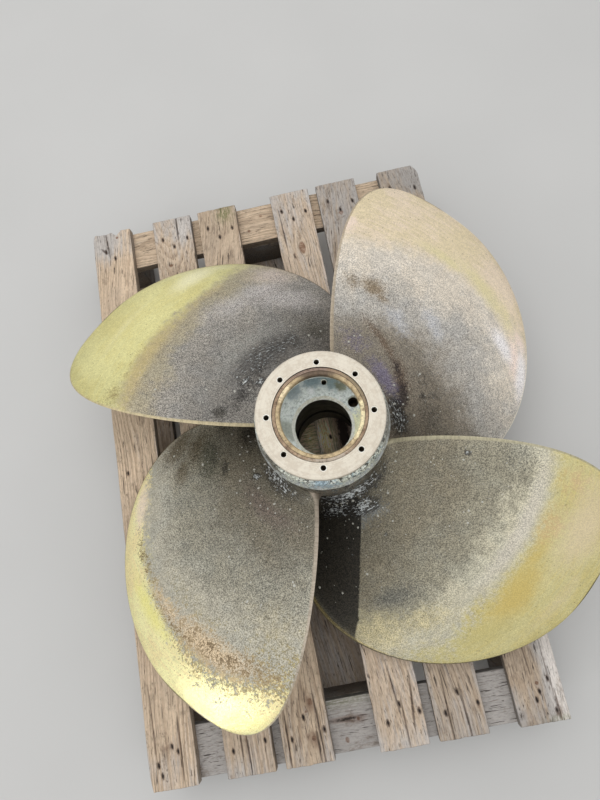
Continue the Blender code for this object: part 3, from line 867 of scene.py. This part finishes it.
def drillPoints(radius, depth, thread):
    # Outline of a hole from above its mouth down to its cone: a flared mouth, then a wavy wall as a thread.
    s = hubSettings
    down = np.arange(0, depth, s["threadPitch"] / 4 if thread else depth / 8)
    wall = radius + thread * np.cos(down / s["threadPitch"] * 2 * math.pi)
    wall = np.maximum(wall, radius + s["countersink"] - down)
    tip = [(radius * 0.9, -depth), (radius * 0.06, -depth - radius * 0.5)]
    return np.array([(wall[0], s["drillTop"])] + list(zip(wall, -down)) + tip)


def addDrills(finishes):
    # All hole shapes as one set of closed bodies. The second finish is for their flared mouths.
    s = hubSettings
    sides = s["drillSides"]
    face = s["faceHoles"]
    holes = [dict(face, angle=face["first"] + 360 * i / face["count"], mouth=0.0)
             for i in range(face["count"])]
    holes += [dict(hole, mouth=-np.interp(hole["circle"], *zip(*chamberFloor))) for hole in s["floorHoles"]]
    grids, quads, which, start = [], [], [], 0
    for hole in holes:
        rows = drillPoints(hole["radius"], hole["depth"], hole["thread"])
        lean = math.radians(hole["angle"])
        mouth = (axisX + hole["circle"] * math.cos(lean), axisY + hole["circle"] * math.sin(lean),
                 faceZ + hole["mouth"])
        grids.append((polar(rows[:, :1], circleAngles(sides), rows[:, 1:]) + mouth).reshape(-1, 3))
        quads.append(tubeQuads(len(rows), sides) + start)
        which += [np.repeat(rows[:-1, 1] > -s["countersink"], sides), np.zeros(sides - 2)]
        start += len(rows) * sides
    points, quads, which = (np.concatenate(parts) for parts in (grids, quads, which))
    return addMesh("holeDrills", points, quads, finishes, which, sharp=40)


def cutWith(piece, tool):
    # Takes the tool's shape out of the piece for good, and removes the tool.
    cut = piece.modifiers.new("holes", "BOOLEAN")
    cut.operation = "DIFFERENCE"
    cut.solver = "EXACT"
    cut.material_mode = "TRANSFER"
    cut.object = tool
    seen = piece.evaluated_get(bpy.context.evaluated_depsgraph_get())
    mesh = bpy.data.meshes.new_from_object(seen)
    piece.modifiers.clear()
    piece.data = mesh
    bpy.data.objects.remove(tool)


def addHub():
    s = hubSettings
    outline, names = outlinePoints(hubOutline, s["cornerPoints"], s["longest"])
    grid = turnedGrid(outline, s["around"])
    # Cast parts are lumpy along the level direction away from the axis, down to just above the foot.
    cast = np.array([name in ("cast", "collar", "chamber") for name in names])
    rough = cast * (outline[:, 1] > s["lumpsEnd"])
    lumps = cloud(grid, 0.02, 21) + 0.5 * cloud(grid, 0.007, 22) - 0.75
    outward = (grid - (axisX, axisY, 0)) * (1, 1, 0)
    outward /= np.linalg.norm(outward, axis=-1, keepdims=True)
    grid += outward * (lumps * rough[:, None] * s["roughCast"])[..., None]
    finishes = {
        "face": machinedFinish("hubFaceMetal", tone(206, 198, 182), tone(201, 191, 174), roughness=0.46,
                               ringSize=0.0014, speckle=0.13, mottle=0.08),
        "groove": castFinish("hubGroove", tone(40, 36, 32), tone(62, 56, 48), tone(22, 20, 18),
                             crustLow=-1.0, crustHigh=-0.9),
        "collar": castFinish("hubCollar", tone(212, 215, 200), tone(236, 239, 230), tone(92, 92, 82),
                             crustLow=-0.08, crustHigh=-0.04, crusty=0.15, blooms=collarBlooms),
        "cast": castFinish("hubCast", tone(112, 104, 90), tone(148, 143, 130), tone(52, 47, 42),
                           crustLow=-0.1, crustHigh=-0.055, crusty=0.12),
        "bore": machinedFinish("boreBronze", tone(64, 62, 54), tone(30, 29, 25), roughness=0.45,
                               ringSize=0.004, speckle=0.8, mottle=0.6),
        "rim": machinedFinish("boreRimBronze", tone(254, 253, 244), tone(236, 232, 214), roughness=0.34,
                              ringSize=0.001, speckle=0.1, metal=0.0),
        "chamber": machinedFinish("chamberBronze", tone(251, 255, 251), tone(217, 223, 219), roughness=0.5,
                                  ringSize=0.0022, speckle=0.4, mottle=0.7, metal=0.05,
                                  blooms=chamberBlooms),
        "thread": machinedFinish("threadBronze", tone(96, 84, 66), tone(56, 50, 42), roughness=0.45,
                                 ringSize=0.001, speckle=0.6),
    }
    hub = addTurned("hub", grid, names, finishes)
    cutWith(hub, addDrills([finishes["thread"], finishes["rim"]]))
    return keep(hub, "bronze", "propeller_casting")


def addSeatRing():
    s = ringSettings
    outline, names = outlinePoints(ringOutline, s["cornerPoints"], s["longest"])
    finishes = {
        "outer": machinedFinish("seatRingOuter", tone(166, 142, 116), tone(126, 102, 80), roughness=0.5,
                                ringSize=0.0013, speckle=0.6, mottle=0.7, metal=s["metal"],
                                blooms=s["outerBlooms"]),
        "inner": machinedFinish("seatRingInner", tone(190, 170, 132), tone(140, 116, 88), roughness=0.48,
                                ringSize=0.0011, speckle=0.6, mottle=0.8, metal=s["metal"],
                                blooms=s["innerBlooms"]),
        "groove": machinedFinish("seatRingGroove", tone(84, 62, 46), tone(50, 38, 30), roughness=0.6,
                                 ringSize=0.001, speckle=0.4),
    }
    ring = addTurned("seatRing", turnedGrid(outline, s["around"]), names, finishes)
    return keep(ring, "ring_bronze", "seat_ring")


# Pallet

plankSettings = {
    "columns": 56,
    "corner": 0.0018,
    "cornerPoints": 4,
    "fineStep": 0.002,
    "coarseStep": 0.007,
    "fineReach": 0.036,
    "endInset": 0.0011,
    "edgeWander": 0.0016,
    "topWander": 0.0009,
    "endWander": 0.0022,
    "endReach": 0.035,
    "sideEdge": 0.0008,
    "pitSize": (0.002, 0.0036),
    "rustSize": (0.0019, 0.0044),
    "nailTurn": 6,
    "pitDepth": 0.0016,
    "splitDepth": 0.0022,
}
# Rings of a nail's head are (radius, height), and sink is how deep the head stands in its pit.
nailSettings = {
    "sides": 12,
    "sink": 0.0008,
    "rings": ((0.0031, -0.004), (0.0031, -0.0002), (0.0026, 0.0002), (0.0014, 0.0003)),
}


def woodFinish():
    # Weathered pine. The grain tag holds the place in the log, in metres, so that rings, fibres and knots
    # agree.
    f = Finish("weatheredPine")
    grain = f.tagged("grain")
    ironAndShade, knot, moss = f.split(f.tagged("marks"))
    worn, light, warm = f.split(f.tagged("age"))
    fibre = f.noise(f.stretch(grain, (1, 1, 0.03)), 0.0022, 3, 0.65)
    strands = f.noise(f.stretch(grain, (1, 1, 0.06)), 0.008, 4, 0.65)
    drifts = f.noise(f.stretch(grain, (1, 1, 0.35)), 0.045, 4, 0.6)
    specks = f.noise(f.stretch(grain, (1, 1, 0.4)), 0.0034, 3, 0.7)
    cracks = f.noise(f.stretch(f.shift(grain, (0.4, 0.2, 0)), (1, 1, 0.06)), 0.0028, 2, 0.6, 0.4)
    stainsAndShadow = f.noise(f.shift(f.stretch(grain, (1, 1, 0.6)), (0.7, 0.1, 0.3)), 0.03, 4, 0.7)
    strandSway, driftSway = strands - 0.5, drifts - 0.5
    # Year rings about the pith, each with a darker late part.
    rings = (f.length(f.stretch(grain, (1, 1, 0))) + strandSway * 0.003 + driftSway * 0.008) / 0.0046
    share = f.node("ShaderNodeMath", {"operation": "FRACT"}, {0: rings})
    late = f.ramp(share, 0.3, 0.85) * f.ramp(share, 1.0, 0.92)
    colour = f.mix(tone(172, 155, 136), tone(198, 176, 150), f.ramp(warm + driftSway * 1.2, 0.1, 0.9))
    grey = f.mix(tone(152, 147, 142), tone(192, 190, 188), fibre)
    colour = f.lay(
        colour,
        (tone(132, 108, 86), late * f.ramp(drifts, 0.3, 0.7, 0.12, 0.55)),
        (grey, f.ramp(worn + strandSway + driftSway * 0.9, 0.3, 0.85) * 0.82),
        (tone(112, 98, 84), f.ramp(fibre, 0.54, 0.68) * 0.6),
        (tone(108, 92, 76), f.ramp(stainsAndShadow, 0.56, 0.7) * 0.5),
        (tone(58, 48, 40), f.ramp(cracks, 0.63, 0.68) * 0.75),
        (tone(84, 70, 58), f.ramp(specks + strands * 0.4, 0.82, 0.94) * 0.65),
        (tone(112, 78, 54), f.ramp(knot, 0.3, 0.8) * f.ramp(specks, 0.3, 0.6, 0.55, 1.0) * 0.9),
        (tone(106, 112, 60), moss * f.ramp(fibre + specks, 0.8, 1.1) * 0.9),
        (tone(104, 76, 58), f.ramp(ironAndShade + (stainsAndShadow - 0.5) * 0.5, 0.05, 0.5) * 0.5),
        (tone(46, 36, 30), f.ramp(ironAndShade + (specks - 0.5) * 0.8, 0.42, 0.8)),
    )
    fine = f.ramp(fibre, 0.3, 0.7, 1.06, 0.9) * f.ramp(specks, 0.35, 0.65, 1.08, 0.9)
    # light scales the colour: board tones, painted light under the hub's bore, and painted shade on side and
    # end faces.
    colour = f.shade(colour, light * fine)
    height = late * 0.5 - fibre * 0.8 + strands * 0.6 - knot * 0.3 - f.ramp(cracks, 0.66, 0.72) * 1.2
    return f.close(colour=colour, roughness=0.88 - knot * 0.15, normal=f.bump(height, 0.0013))


def nailFinish():
    f = Finish("rustyNail")
    patches = f.noise(f.place(), 0.003, 3, 0.6)
    colour = f.mix(tone(58, 44, 36), tone(104, 66, 42), f.ramp(patches, 0.4, 0.7))
    return f.close(colour=colour, roughness=0.7, metal=0.4, normal=f.bump(patches, 0.0004))


def plankStations(length, rows):
    # Places along a board: coarse, but fine about each row of nails and doubled at the rounded ends.
    s = plankSettings
    half, inset = length / 2, s["endInset"]
    fine = [np.arange(row - s["fineReach"], row + s["fineReach"], s["fineStep"]) for row in rows]
    inner = np.unique(np.round(np.concatenate([np.arange(-half, half, s["coarseStep"])] + fine), 5))
    inner = inner[(inner > -half + 3 * inset) & (inner < half - 3 * inset)]
    return np.concatenate(([-half, -half + inset], inner, [half - inset, half]))


def plankRow(width, thickness, columns):
    # Half the outline of a board's end: one side, its rounded corner, the top, and the other side.
    s = plankSettings
    turn = np.linspace(0, math.pi / 2, s["cornerPoints"])
    left = -width / 2 + s["corner"] * (1 - np.cos(turn))
    up = thickness - s["corner"] * (1 - np.sin(turn))
    middle = np.linspace(left[-1], -left[-1], columns)[1:-1]
    across = np.concatenate((left, middle, -left[::-1]))
    return across, np.concatenate((up, 0 * middle + thickness, up[::-1]))


def nailOvals(spec, size):
    # A soft oval of one size at each nail of a board.
    return [(x, y, *size, 1.0, plankSettings["nailTurn"]) for x, y in spec.get("nails", ())]


def plankGrid(width, length, thickness, spec):
    # A board lying along its second axis: rings of points, worn inwards only, so that it keeps to its size.
    s = plankSettings
    seed, inset = spec["seed"], s["endInset"]
    rowAcross, rowUp = plankRow(width, thickness, spec.get("columns", s["columns"]))
    across = np.concatenate((rowAcross, rowAcross[::-1]))[None, :]
    up = np.concatenate((rowUp, thickness - rowUp[::-1]))[None, :]
    along = plankStations(length, spec.get("rows", ()))[:, None]
    across, up, along = (np.array(v) for v in np.broadcast_arrays(across, up, along))
    # The two end rings are drawn in, which rounds the ends.
    atEnd = np.abs(along) > (length - inset) / 2
    across *= np.where(atEnd, 1 - 2 * inset / width, 1)
    up = np.where(atEnd, thickness / 2 + (up - thickness / 2) * (1 - 2 * inset / thickness), up)
    # Wavy edges, ragged ends with notches, and clipped corners.
    flat = np.stack((np.sign(across), along, 0 * along), -1)
    edge = cloud(flat, 0.09, seed) * 0.7 + cloud(flat, 0.02, seed + 1) * 0.3
    across *= 1 - 2 * s["edgeWander"] / width * edge
    ends = np.stack((across, np.sign(along), 0 * along), -1)
    bite = s["endWander"] * (cloud(ends, 0.018, seed + 2) * 0.6 + cloud(ends, 0.005, seed + 3) * 0.4)
    for end, centre, wide, deep in spec.get("notches", ()):
        shape = np.clip(1 - np.abs(across / width + 0.5 - centre) / wide, 0, 1)
        bite = bite + np.where(np.sign(along) == end, deep * shape ** 0.7, 0)
    pull = np.clip(1 - (length / 2 - np.abs(along)) / s["endReach"], 0, 1)
    along = along - np.sign(along) * bite * pull
    for end, side, reach, deep in spec.get("clips", ()):
        near = np.clip(1 - (length / 2 - along * end) / reach, 0, 1)
        across = across - side * deep * near ** 2 * np.clip(across * side * 2 / width, 0, 1)
    # A sagging top with nail pits and splits.
    surface = np.stack((across, along, up), -1)
    top = up > thickness / 2
    fine = cloud(surface * (1, 0.1, 1), 0.004, seed + 5)
    sag = s["topWander"] * (cloud(surface, 0.06, seed + 4) * 0.6 + fine * 0.4)
    splits = spread(spec.get("splits", ()), across, along)
    pits = spread(nailOvals(spec, s["pitSize"]), across, along) * top
    up = up - np.where(top, sag + s["pitDepth"] * pits + s["splitDepth"] * splits, -sag)
    return across, along, up, splits * top


def grainTags(across, along, up, spec):
    # The place in the log: the board is sawn at a distance from the pith, which wanders, and the grain parts
    # at knots.
    seed = spec["seed"]
    warped = across.copy()
    knotty = np.zeros(across.shape)
    for x, y, size in spec.get("knots", ()):
        aside, ahead = across - x, along - y
        far = np.sqrt(aside ** 2 + (ahead / 2.4) ** 2) / size
        warped = warped - aside * np.exp(-far ** 2 / 3) * 0.85
        near = np.sqrt(aside ** 2 + (ahead / spec.get("knotLength", 1.0)) ** 2) / size
        knotty = np.maximum(knotty, np.exp(-near ** 4))
    line = np.stack((0 * along, along, 0 * along), -1)
    pithAcross = spec.get("pith", 0.3) * 0.08 + (cloud(line, 0.3, seed + 6) - 0.5) * 0.05
    pithUp = -spec.get("pithDepth", 0.02) - 0.025 + (cloud(line, 0.4, seed + 7) - 0.5) * 0.05
    return (warped - pithAcross, up - pithUp, along + seed * 0.37), knotty


def addPlank(name, node, spec, finish, lengthwise=True):
    # Fits a worn board into the box of its plain solid.
    s = plankSettings
    low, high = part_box(node)
    size = high - low
    width, length = (size.x, size.y) if lengthwise else (size.y, size.x)
    across, along, up, splits = plankGrid(width, length, size.z, spec)
    level = (across, along) if lengthwise else (along, -across)
    points = np.stack((*level, up), -1) + ((low.x + high.x) / 2, (low.y + high.y) / 2, low.z)
    plank = addMesh(name, points, tubeQuads(*points.shape[:2]), [finish], sharp=50)
    grain, knots = grainTags(across, along, up, spec)

    def patches(key):
        return spread(spec.get(key, ()), across, along)

    nailMarks = spread(nailOvals(spec, s["rustSize"]), across, along) * (up > size.z / 2)
    # Dark marks: rust about the nails, splits, stains, and a painted shadow beside the hub's bore.
    ironAndShade = np.maximum(np.maximum(nailMarks, splits * 0.9), patches("stainsAndShadow"))
    place = np.stack((across + spec["seed"], along, 0 * along), -1)
    ends = ease(np.abs(along), length / 2 - 0.14, length / 2) * cloud(place, 0.05, spec["seed"] + 8)
    edges = ease(np.abs(across), width / 2 - 0.014, width / 2)
    worn = spec.get("worn", 0.3) + 0.35 * ends + 0.15 * edges + patches("grey")
    shade = spec.get("light", 1.0) * (0.9 + 0.2 * cloud(place, 0.11, spec["seed"] + 9))
    # Light patches brighten the colour: painted light where the deck shows through the hub's bore, brighter
    # wood elsewhere.
    shade = shade * (1 + patches("bareAndLit"))
    # Side and end faces are darker by the sides factor: painted shade under and between the boards.
    onSide = (up > s["sideEdge"]) & (up < size.z - s["sideEdge"])
    shade = np.where(onSide, shade * spec.get("sides", 0.55), shade)
    tagPoints(plank, grain=grain, marks=(ironAndShade, knots, patches("moss")),
              age=(worn, shade, spec.get("warm", 0.5) + 0 * up))
    return keep(plank, "block_wood" if node.startswith("block") else "pallet_wood", node)


# Boards of the pallet. Lengths are in metres from the middle of the board, and near is the low end. Nails
# are given by their share of the width and their distance from their row, other marks as ovals across and
# along.
palletRows = {"near": -0.553, "centre": 0.0, "far": 0.553}
middleNails = [(-0.2, 0.0), (0.25, 0.02)]
deckBoards = [
    {"seed": 1, "warm": 0.7, "worn": 0.22, "light": 1.24, "pith": 0.15, "pithDepth": -0.012,
     "near": [(0.035, 0.022), (0.144, 0.012), (-0.281, -0.007), (-0.226, -0.0255)],
     "centre": [(-0.25, 0.01), (0.2, -0.02)], "far": [(-0.187, 0.0), (0.036, -0.0215)],
     "knots": [(0.0126, 0.586, 0.004), (-0.02, 0.2, 0.007), (0.015, -0.33, 0.008)],
     "notches": [(1, 0.62, 0.12, 0.011), (1, 0.3, 0.2, 0.003)],
     "clips": [(1, -1, 0.02, 0.006), (-1, -1, 0.05, 0.004)],
     "splits": [(-0.012, 0.573, 0.0012, 0.02, 0.8, 4), (0.02, -0.54, 0.001, 0.04, 0.8),
         (-0.03, -0.5, 0.001, 0.05, 0.6, 1), (-0.022, 0.556, 0.0013, 0.006, 0.9, 38)],
     "stainsAndShadow": [(-0.006, -0.531, 0.012, 0.004, 0.3), (0.012, -0.36, 0.003, 0.02, 0.35)],
     "grey": [(-0.02, 0.58, 0.03, 0.035, 0.5)], "bareAndLit": [(0.02, 0.52, 0.02, 0.05, 0.08)]},
    {"seed": 2, "warm": 0.5, "worn": 0.28, "light": 1.12, "pith": -0.2, "pithDepth": 0.006,
     "near": [(-0.307, -0.005), (0.357, 0.004), (0.03, 0.03)], "centre": [(-0.2, -0.02), (0.25, 0.015)],
     "far": [(-0.274, -0.001), (-0.003, -0.025), (0.351, -0.009)],
     "knots": [(-0.0148, 0.48, 0.0055), (0.01, 0.05, 0.006)],
     "splits": [(0.012, 0.58, 0.001, 0.03, 0.9), (0.0, -0.56, 0.001, 0.03, 0.8, 2),
         (-0.012, -0.545, 0.001, 0.03, 0.7)],
     "grey": [(0.02, 0.56, 0.018, 0.03, 0.4), (0.01, 0.585, 0.035, 0.03, 0.3)],
     "bareAndLit": [(0.021, 0.565, 0.012, 0.02, 0.14)]},
    {"seed": 3, "warm": 0.62, "worn": 0.22, "light": 1.08, "pith": 0.1, "pithDepth": 0.018,
     "near": [(-0.285, -0.003), (0.011, 0.031), (0.39, 0.005)],
     "far": [(-0.276, 0.003), (-0.011, -0.026), (0.335, -0.009)],
     "knots": [(0.0186, -0.497, 0.006), (0.008, -0.512, 0.004), (0.0149, -0.56, 0.005),
         (-0.02, 0.45, 0.005)],
     "splits": [(0.028, -0.55, 0.001, 0.06, 0.8, 2), (-0.035, -0.56, 0.001, 0.04, 0.9),
         (0.022, -0.575, 0.0012, 0.02, 0.8)],
     "stainsAndShadow": [(0.017, -0.498, 0.007, 0.014, 0.5), (0.016, -0.563, 0.006, 0.012, 0.55, 10),
         (0.004, -0.556, 0.004, 0.006, 0.5)],
     "moss": [(0.019, 0.588, 0.014, 0.018)]},
    # Under the hub's bore this board carries a painted pool of light, with a painted shadow just beside it.
    {"seed": 4, "warm": 0.5, "worn": 0.42, "light": 1.3, "pith": -0.12, "pithDepth": -0.005,
     "near": [(0.056, 0.024), (0.424, 0.007), (-0.235, -0.0044)],
     "far": [(-0.263, 0.004), (-0.007, -0.022), (0.33, -0.008)],
     "knots": [(0.0059, 0.452, 0.0085), (0.02, -0.2, 0.007)], "knotLength": 2.1,
     "splits": [(0.0, -0.5, 0.001, 0.03, 0.8, 5), (0.01, -0.57, 0.0009, 0.03, 0.7),
         (-0.03, 0.5, 0.001, 0.04, 0.7, 2), (0.03, -0.53, 0.0012, 0.03, 0.8, -6)],
     "stainsAndShadow": [(-0.0153, 0.435, 0.0022, 0.006, 0.9), (0.01, 0.0, 0.011, 0.06)],
     "moss": [(-0.028, 0.0, 0.02, 0.04, 0.8)], "bareAndLit": [(-0.032, 0.0, 0.012, 0.03, 2.2)]},
    {"seed": 5, "warm": 0.45, "worn": 0.38, "light": 0.99, "pith": 0.6, "pithDepth": 0.02,
     "near": [(0.048, 0.0275), (0.399, 0.003), (-0.266, -0.005)],
     "far": [(-0.26, 0.004), (0.0, -0.024), (0.34, -0.008)],
     "knots": [(0.015, 0.3, 0.006), (0.0, 0.52, 0.006)],
     "splits": [(-0.02, -0.55, 0.001, 0.035, 0.8), (0.012, -0.57, 0.001, 0.03, 0.8, 2)],
     "grey": [(0.0, 0.5, 0.04, 0.1, 0.25)]},
    {"seed": 6, "warm": 0.55, "worn": 0.3, "light": 0.92, "pith": -0.35, "pithDepth": 0.008,
     "near": [(0.247, 0.0226), (0.033, 0.0035), (-0.056, -0.0095), (0.268, -0.0326)],
     "far": [(-0.26, 0.002), (0.0, -0.024), (0.33, -0.01)],
     "knots": [(0.002, -0.535, 0.004), (-0.02, 0.1, 0.007)], "clips": [(1, 1, 0.03, 0.014)],
     "splits": [(0.03, -0.58, 0.001, 0.02, 0.8), (-0.008, -0.47, 0.001, 0.04, 0.5, 3),
         (0.026, -0.52, 0.0008, 0.05, 0.5, 1)],
     "grey": [(0.036, -0.53, 0.013, 0.12, 1.6), (0.03, 0.58, 0.04, 0.04, 0.4)],
     "bareAndLit": [(0.037, -0.53, 0.012, 0.12, 1.05)], "moss": [(0.03, -0.6, 0.02, 0.004, 0.5)]},
]
crossBoards = {
    "near": {
        "seed": 21, "warm": 0.0, "worn": 1.0, "light": 1.02, "pith": 0.2, "pithDepth": 0.015,
        "knots": [(-0.0064, 0.014, 0.0045), (0.0268, -0.0153, 0.006), (0.0077, 0.297, 0.003)],
        "stainsAndShadow": [(-0.009, -0.01, 0.0035, 0.028, 0.8), (-0.0064, 0.014, 0.007, 0.012, 0.5)],
        "moss": [(-0.042, -0.01, 0.008, 0.04, 0.5)]},
    # Under the hub's bore this board carries a painted pool of light.
    "centre": {
        "seed": 22, "warm": 0.3, "worn": 0.4, "light": 0.8, "knots": [(0.01, -0.2, 0.006)],
        "moss": [(-0.008, 0.026, 0.04, 0.02, 0.8)], "bareAndLit": [(-0.008, 0.026, 0.035, 0.016, 3.4)]},
    "far": {
        "seed": 23, "warm": 0.8, "worn": 0.2, "light": 1.18, "pith": 0.1, "pithDepth": -0.01,
        "knots": [(-0.0197, 0.0117, 0.0045), (0.0141, -0.0206, 0.005), (0.01, -0.24, 0.006)]},
}
# Seed, wear and light of each runner, and what the boards, runners and blocks under the deck share.
# Runners and blocks are darker than the deck, as dirt and painted shade under it.
runnerTones = {"left": (31, 0.4, 0.86), "middle": (32, 0.5, 0.84), "right": (33, 0.45, 0.86)}
lowerSettings = {
    "cross": {"columns": 44, "sides": 0.35},
    "runner": {"warm": 0.4, "columns": 36, "sides": 0.35, "knots": [(0.0, 0.1, 0.007)]},
    "block": {"worn": 0.3, "light": 0.78, "warm": 0.45, "columns": 30, "sides": 0.4, "pith": 0.2,
              "pithDepth": -0.03},
}


def addNails(nails, finish):
    # Domed heads, sunk in their pits: a ring, a smaller raised ring and a closed top.
    s = nailSettings
    radius, height = (np.array(column)[:, None] for column in zip(*s["rings"]))
    head = polar(radius, circleAngles(s["sides"]), height).reshape(-1, 3)
    quads = copiedQuads(tubeQuads(len(s["rings"]), s["sides"]), len(head), len(nails))
    points = head + np.array(nails)[:, None, :]
    return keep(addMesh("nails", points, quads, [finish], sharp=40), "pallet_wood")


def addPallet():
    wood = woodFinish()
    heads = []
    for index, board in enumerate(deckBoards):
        node = f"deck_board_{index + 1}"
        low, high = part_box(node)
        board = dict(centre=middleNails, rows=list(palletRows.values())) | board
        board["nails"] = [(x * (high.x - low.x), start + y)
                          for row, start in palletRows.items() for x, y in board[row]]
        addPlank(f"deckBoard{index + 1}", node, board, wood)
        sunk = high.z - plankSettings["pitDepth"] - nailSettings["sink"]
        heads += [((low.x + high.x) / 2 + x, y, sunk) for x, y in board["nails"]]
    addNails(heads, nailFinish())
    for row, board in crossBoards.items():
        board = board | lowerSettings["cross"]
        addPlank(f"crossBoard{row.capitalize()}", f"cross_board_{row}", board, wood, lengthwise=False)
    for side, (seed, worn, light) in runnerTones.items():
        runner = dict(lowerSettings["runner"], seed=seed, worn=worn, light=light)
        addPlank(f"runner{side.capitalize()}", f"runner_{side}", runner, wood)
        for step, row in enumerate(palletRows):
            block = dict(lowerSettings["block"], seed=seed + 10 * (step + 1))
            addPlank(f"block{row.capitalize()}{side.capitalize()}", f"block_{row}_{side}", block, wood)


# Lime specks on the blades

# Rings of a dome are (share of its size, height above the blade).
speckSettings = {
    "perBlade": 120,
    "seed": 5,
    "smallest": 0.0009,
    "largest": 0.003,
    "sides": 8,
    "rings": ((1.0, -0.0004), (0.8, 0.00035), (0.35, 0.0007)),
    "probe": 0.001,
}


def addSpecks():
    # Low domes set on the upper faces, many near the root, found by their chord and span shares.
    s = speckSettings
    shape = bladeShape
    count, sides, probe = s["perBlade"], s["sides"], s["probe"]
    chance = np.random.default_rng(s["seed"])
    turn = circleAngles(sides)[:, None]
    paint = Finish("limeSpeck")
    patches = paint.noise(paint.place(), 0.002, 2, 0.6)
    lime = paint.close(colour=paint.mix(tone(206, 206, 198), tone(168, 164, 150), patches), roughness=0.85,
                       normal=paint.bump(patches, 0.0005))
    domes = []
    for index in range(len(bladeFinishes)):
        span = 0.04 + 0.5 * chance.random(count) ** 2.2
        across = 0.06 + 0.88 * chance.random(count)
        size = between(s["smallest"], s["largest"], chance.random(count) ** 3)
        radius = between(shape["rootRadius"], shape["tipRadius"], span)
        # Two steps along the face give the plane that a dome stands on.
        spot, outer, further = (bladePoints(radius + out, across + aside, np.ones(count))[0]
                                for out, aside in ((0, 0), (probe, 0), (0, probe)))
        first = outer - spot
        normal = np.cross(first, further - spot)
        normal *= (np.sign(normal[:, 2]) / np.linalg.norm(normal, axis=-1))[:, None]
        first /= np.linalg.norm(first, axis=-1)[:, None]
        second = np.cross(normal, first)
        wobble = size[:, None] * (0.75 + 0.5 * chance.random((count, sides)))
        flat = first[:, None] * np.cos(turn) + second[:, None] * np.sin(turn)
        rings = [spot[:, None] + flat * (wobble * share)[..., None] + normal[:, None] * rise
                 for share, rise in s["rings"]]
        domes.append(turnedAbout(np.stack(rings, 1).reshape(-1, 3), index * math.pi / 2))
    quads = copiedQuads(tubeQuads(len(s["rings"]), sides), len(s["rings"]) * sides, count * len(domes))
    return keep(addMesh("limeSpecks", np.concatenate(domes), quads, [lime]), "bronze")


addCamera()
addStage()
addLights()
print("camera, floor and lights made")
for number, settings in enumerate(bladeFinishes):
    addBlade(number, settings)
print("blades made")
addHub()
addSeatRing()
addSpecks()
print("hub and ring made")
addPallet()
print("pallet made")
